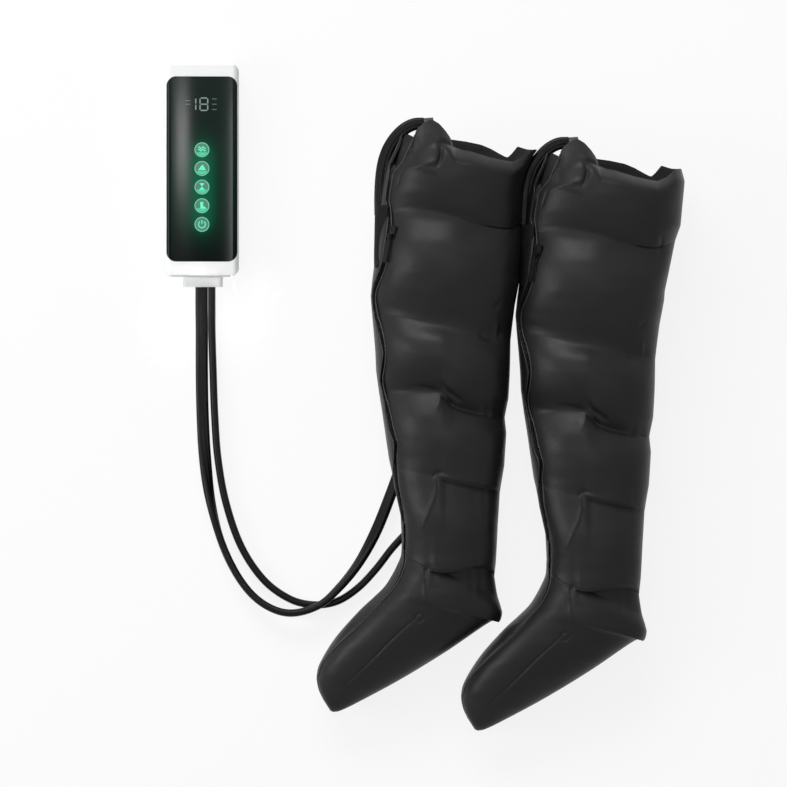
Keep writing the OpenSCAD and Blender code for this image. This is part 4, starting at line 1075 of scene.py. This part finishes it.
def segment(cx, w, which):
    """One bar of a seven-segment digit: a hexagon."""
    cy, h = DIGIT_Y, DIGIT_H
    x0, x1, y0, y1 = cx - w / 2, cx + w / 2, cy - h / 2, cy + h / 2
    (ax, ay), (bx, by) = {
        "top": ((x0, y1), (x1, y1)), "mid": ((x0, cy), (x1, cy)), "low": ((x0, y0), (x1, y0)),
        "ul": ((x0, cy), (x0, y1)), "ur": ((x1, cy), (x1, y1)), "ll": ((x0, y0), (x0, cy)),
        "lr": ((x1, y0), (x1, cy))}[which]
    g, k = DIGIT_GAP, DIGIT_BAR / 2
    if ay == by:
        return [(ax + g, ay), (ax + g + k, ay - k), (bx - g - k, by - k), (bx - g, by),
                (bx - g - k, by + k), (ax + g + k, ay + k)]
    return [(ax, ay + g), (ax + k, ay + g + k), (bx + k, by - g - k), (bx, by - g),
            (bx - k, by - g - k), (ax - k, ay + g + k)]


def display_digits():
    """The number 18 and the dashes beside it."""
    eight = [segment(EIGHT_X, EIGHT_W, k) for k in ("top", "mid", "low", "ul", "ur", "ll", "lr")]
    one = [segment(ONE_X, ONE_W, k) for k in ("ur", "lr")]
    plates("digits", eight + one, DIGIT_THICK, MAT["digit"], "handset")
    marks = [bar(x0, x1, DIGIT_Y + y, half) for x0, x1, half, ys in (RIGHT_MARKS, LEFT_MARKS)
             for y in ys]
    plates("digit_marks", marks, DIGIT_THICK, MAT["digit_dim"], "handset")


display_digits()

# ---------- floor, world and lights ----------

FLOOR_X, FLOOR_Y, FLOOR_R, FLOOR_SIDES, FLOOR_Z = 0.28, -0.28, 6.0, 64, -0.0002
FLOOR_GREY, FLOOR_WHITE = 0.86, 0.86     # its reflection, and white's share for the eye
SKY, SKY_STRENGTH = (0.98, 0.99, 1.0, 1), 0.17


def white_for_eye(nt, out, shade, white, share):
    """Mixes a shader with a share of white for camera, glossy and transmission rays."""
    path = new(nt, "LightPath")
    eye = maths(nt, "MAXIMUM", maths(nt, "MAXIMUM", path.outputs["Is Camera Ray"],
                                     path.outputs["Is Glossy Ray"]),
                path.outputs["Is Transmission Ray"])
    mix = new(nt, "MixShader")
    for i, source in enumerate((maths(nt, "MULTIPLY", eye, share), shade.outputs[0],
                                white.outputs[0])):
        nt.links.new(source, mix.inputs[i])
    nt.links.new(mix.outputs[0], out.inputs[0])


def make_floor():
    me = bpy.data.meshes.new("floor")
    turns = [2 * math.pi * i / FLOOR_SIDES for i in range(FLOOR_SIDES)]
    ring = [(FLOOR_X + FLOOR_R * math.cos(a), FLOOR_Y + FLOOR_R * math.sin(a), 0) for a in turns]
    me.from_pydata(ring, [], [list(range(FLOOR_SIDES))])
    floor = placed("floor", me)
    floor.location.z = FLOOR_Z
    m = bpy.data.materials.new("floor")
    nt, out = emptied(m, "OutputMaterial")
    diffuse = new(nt, "BsdfDiffuse")
    put(diffuse, Color=(FLOOR_GREY, FLOOR_GREY, FLOOR_GREY, 1))
    white_for_eye(nt, out, diffuse, new(nt, "Emission"), FLOOR_WHITE)
    me.materials.append(m)


def make_world():
    world = bpy.data.worlds.new("world")
    bpy.context.scene.world = world
    nt, out = emptied(world, "OutputWorld")
    soft = new(nt, "Background")
    put(soft, Color=SKY, Strength=SKY_STRENGTH)
    white = new(nt, "Background")
    put(white, Color=(1, 1, 1, 1))
    white_for_eye(nt, out, soft, white, 1.0)


# Name, place, target, size in x and y, watts, spread in degrees
LAMPS = [
    ("key", (-0.55, 2.4, 2.3), (0.30, -0.25, 0.05), (2.8, 1.05), 100, 180),
    ("fill", (-2.3, -0.3, 1.6), (0.3, -0.35, 0.05), (1.1, 1.1), 38, 180),
    ("panel_band", (-0.19, 0.13, 3.0), (-0.19, 0.13, 0.0), (0.16, 0.14), 4.0, 180),
    ("panel_edge", (0.53, 0.06, 3.0), (0.53, 0.06, 0.0), (0.08, 0.30), 3.2, 180),
    ("plug_fill", (-0.35, -1.1, 1.5), (0.0, -0.187, 0.02), (0.06, 0.06), 0.034, 5)]


def make_lamp(name, at, target, size, power, spread):
    data = bpy.data.lights.new(name, "AREA")
    data.energy = power
    data.shape = "RECTANGLE"
    data.size, data.size_y = size
    data.spread = math.radians(spread)
    ob = placed(name, data)
    ob.location = at
    ob.rotation_euler = (Vector(target) - Vector(at)).to_track_quat("-Z", "Y").to_euler()


make_floor()
make_world()
for values in LAMPS:
    make_lamp(*values)
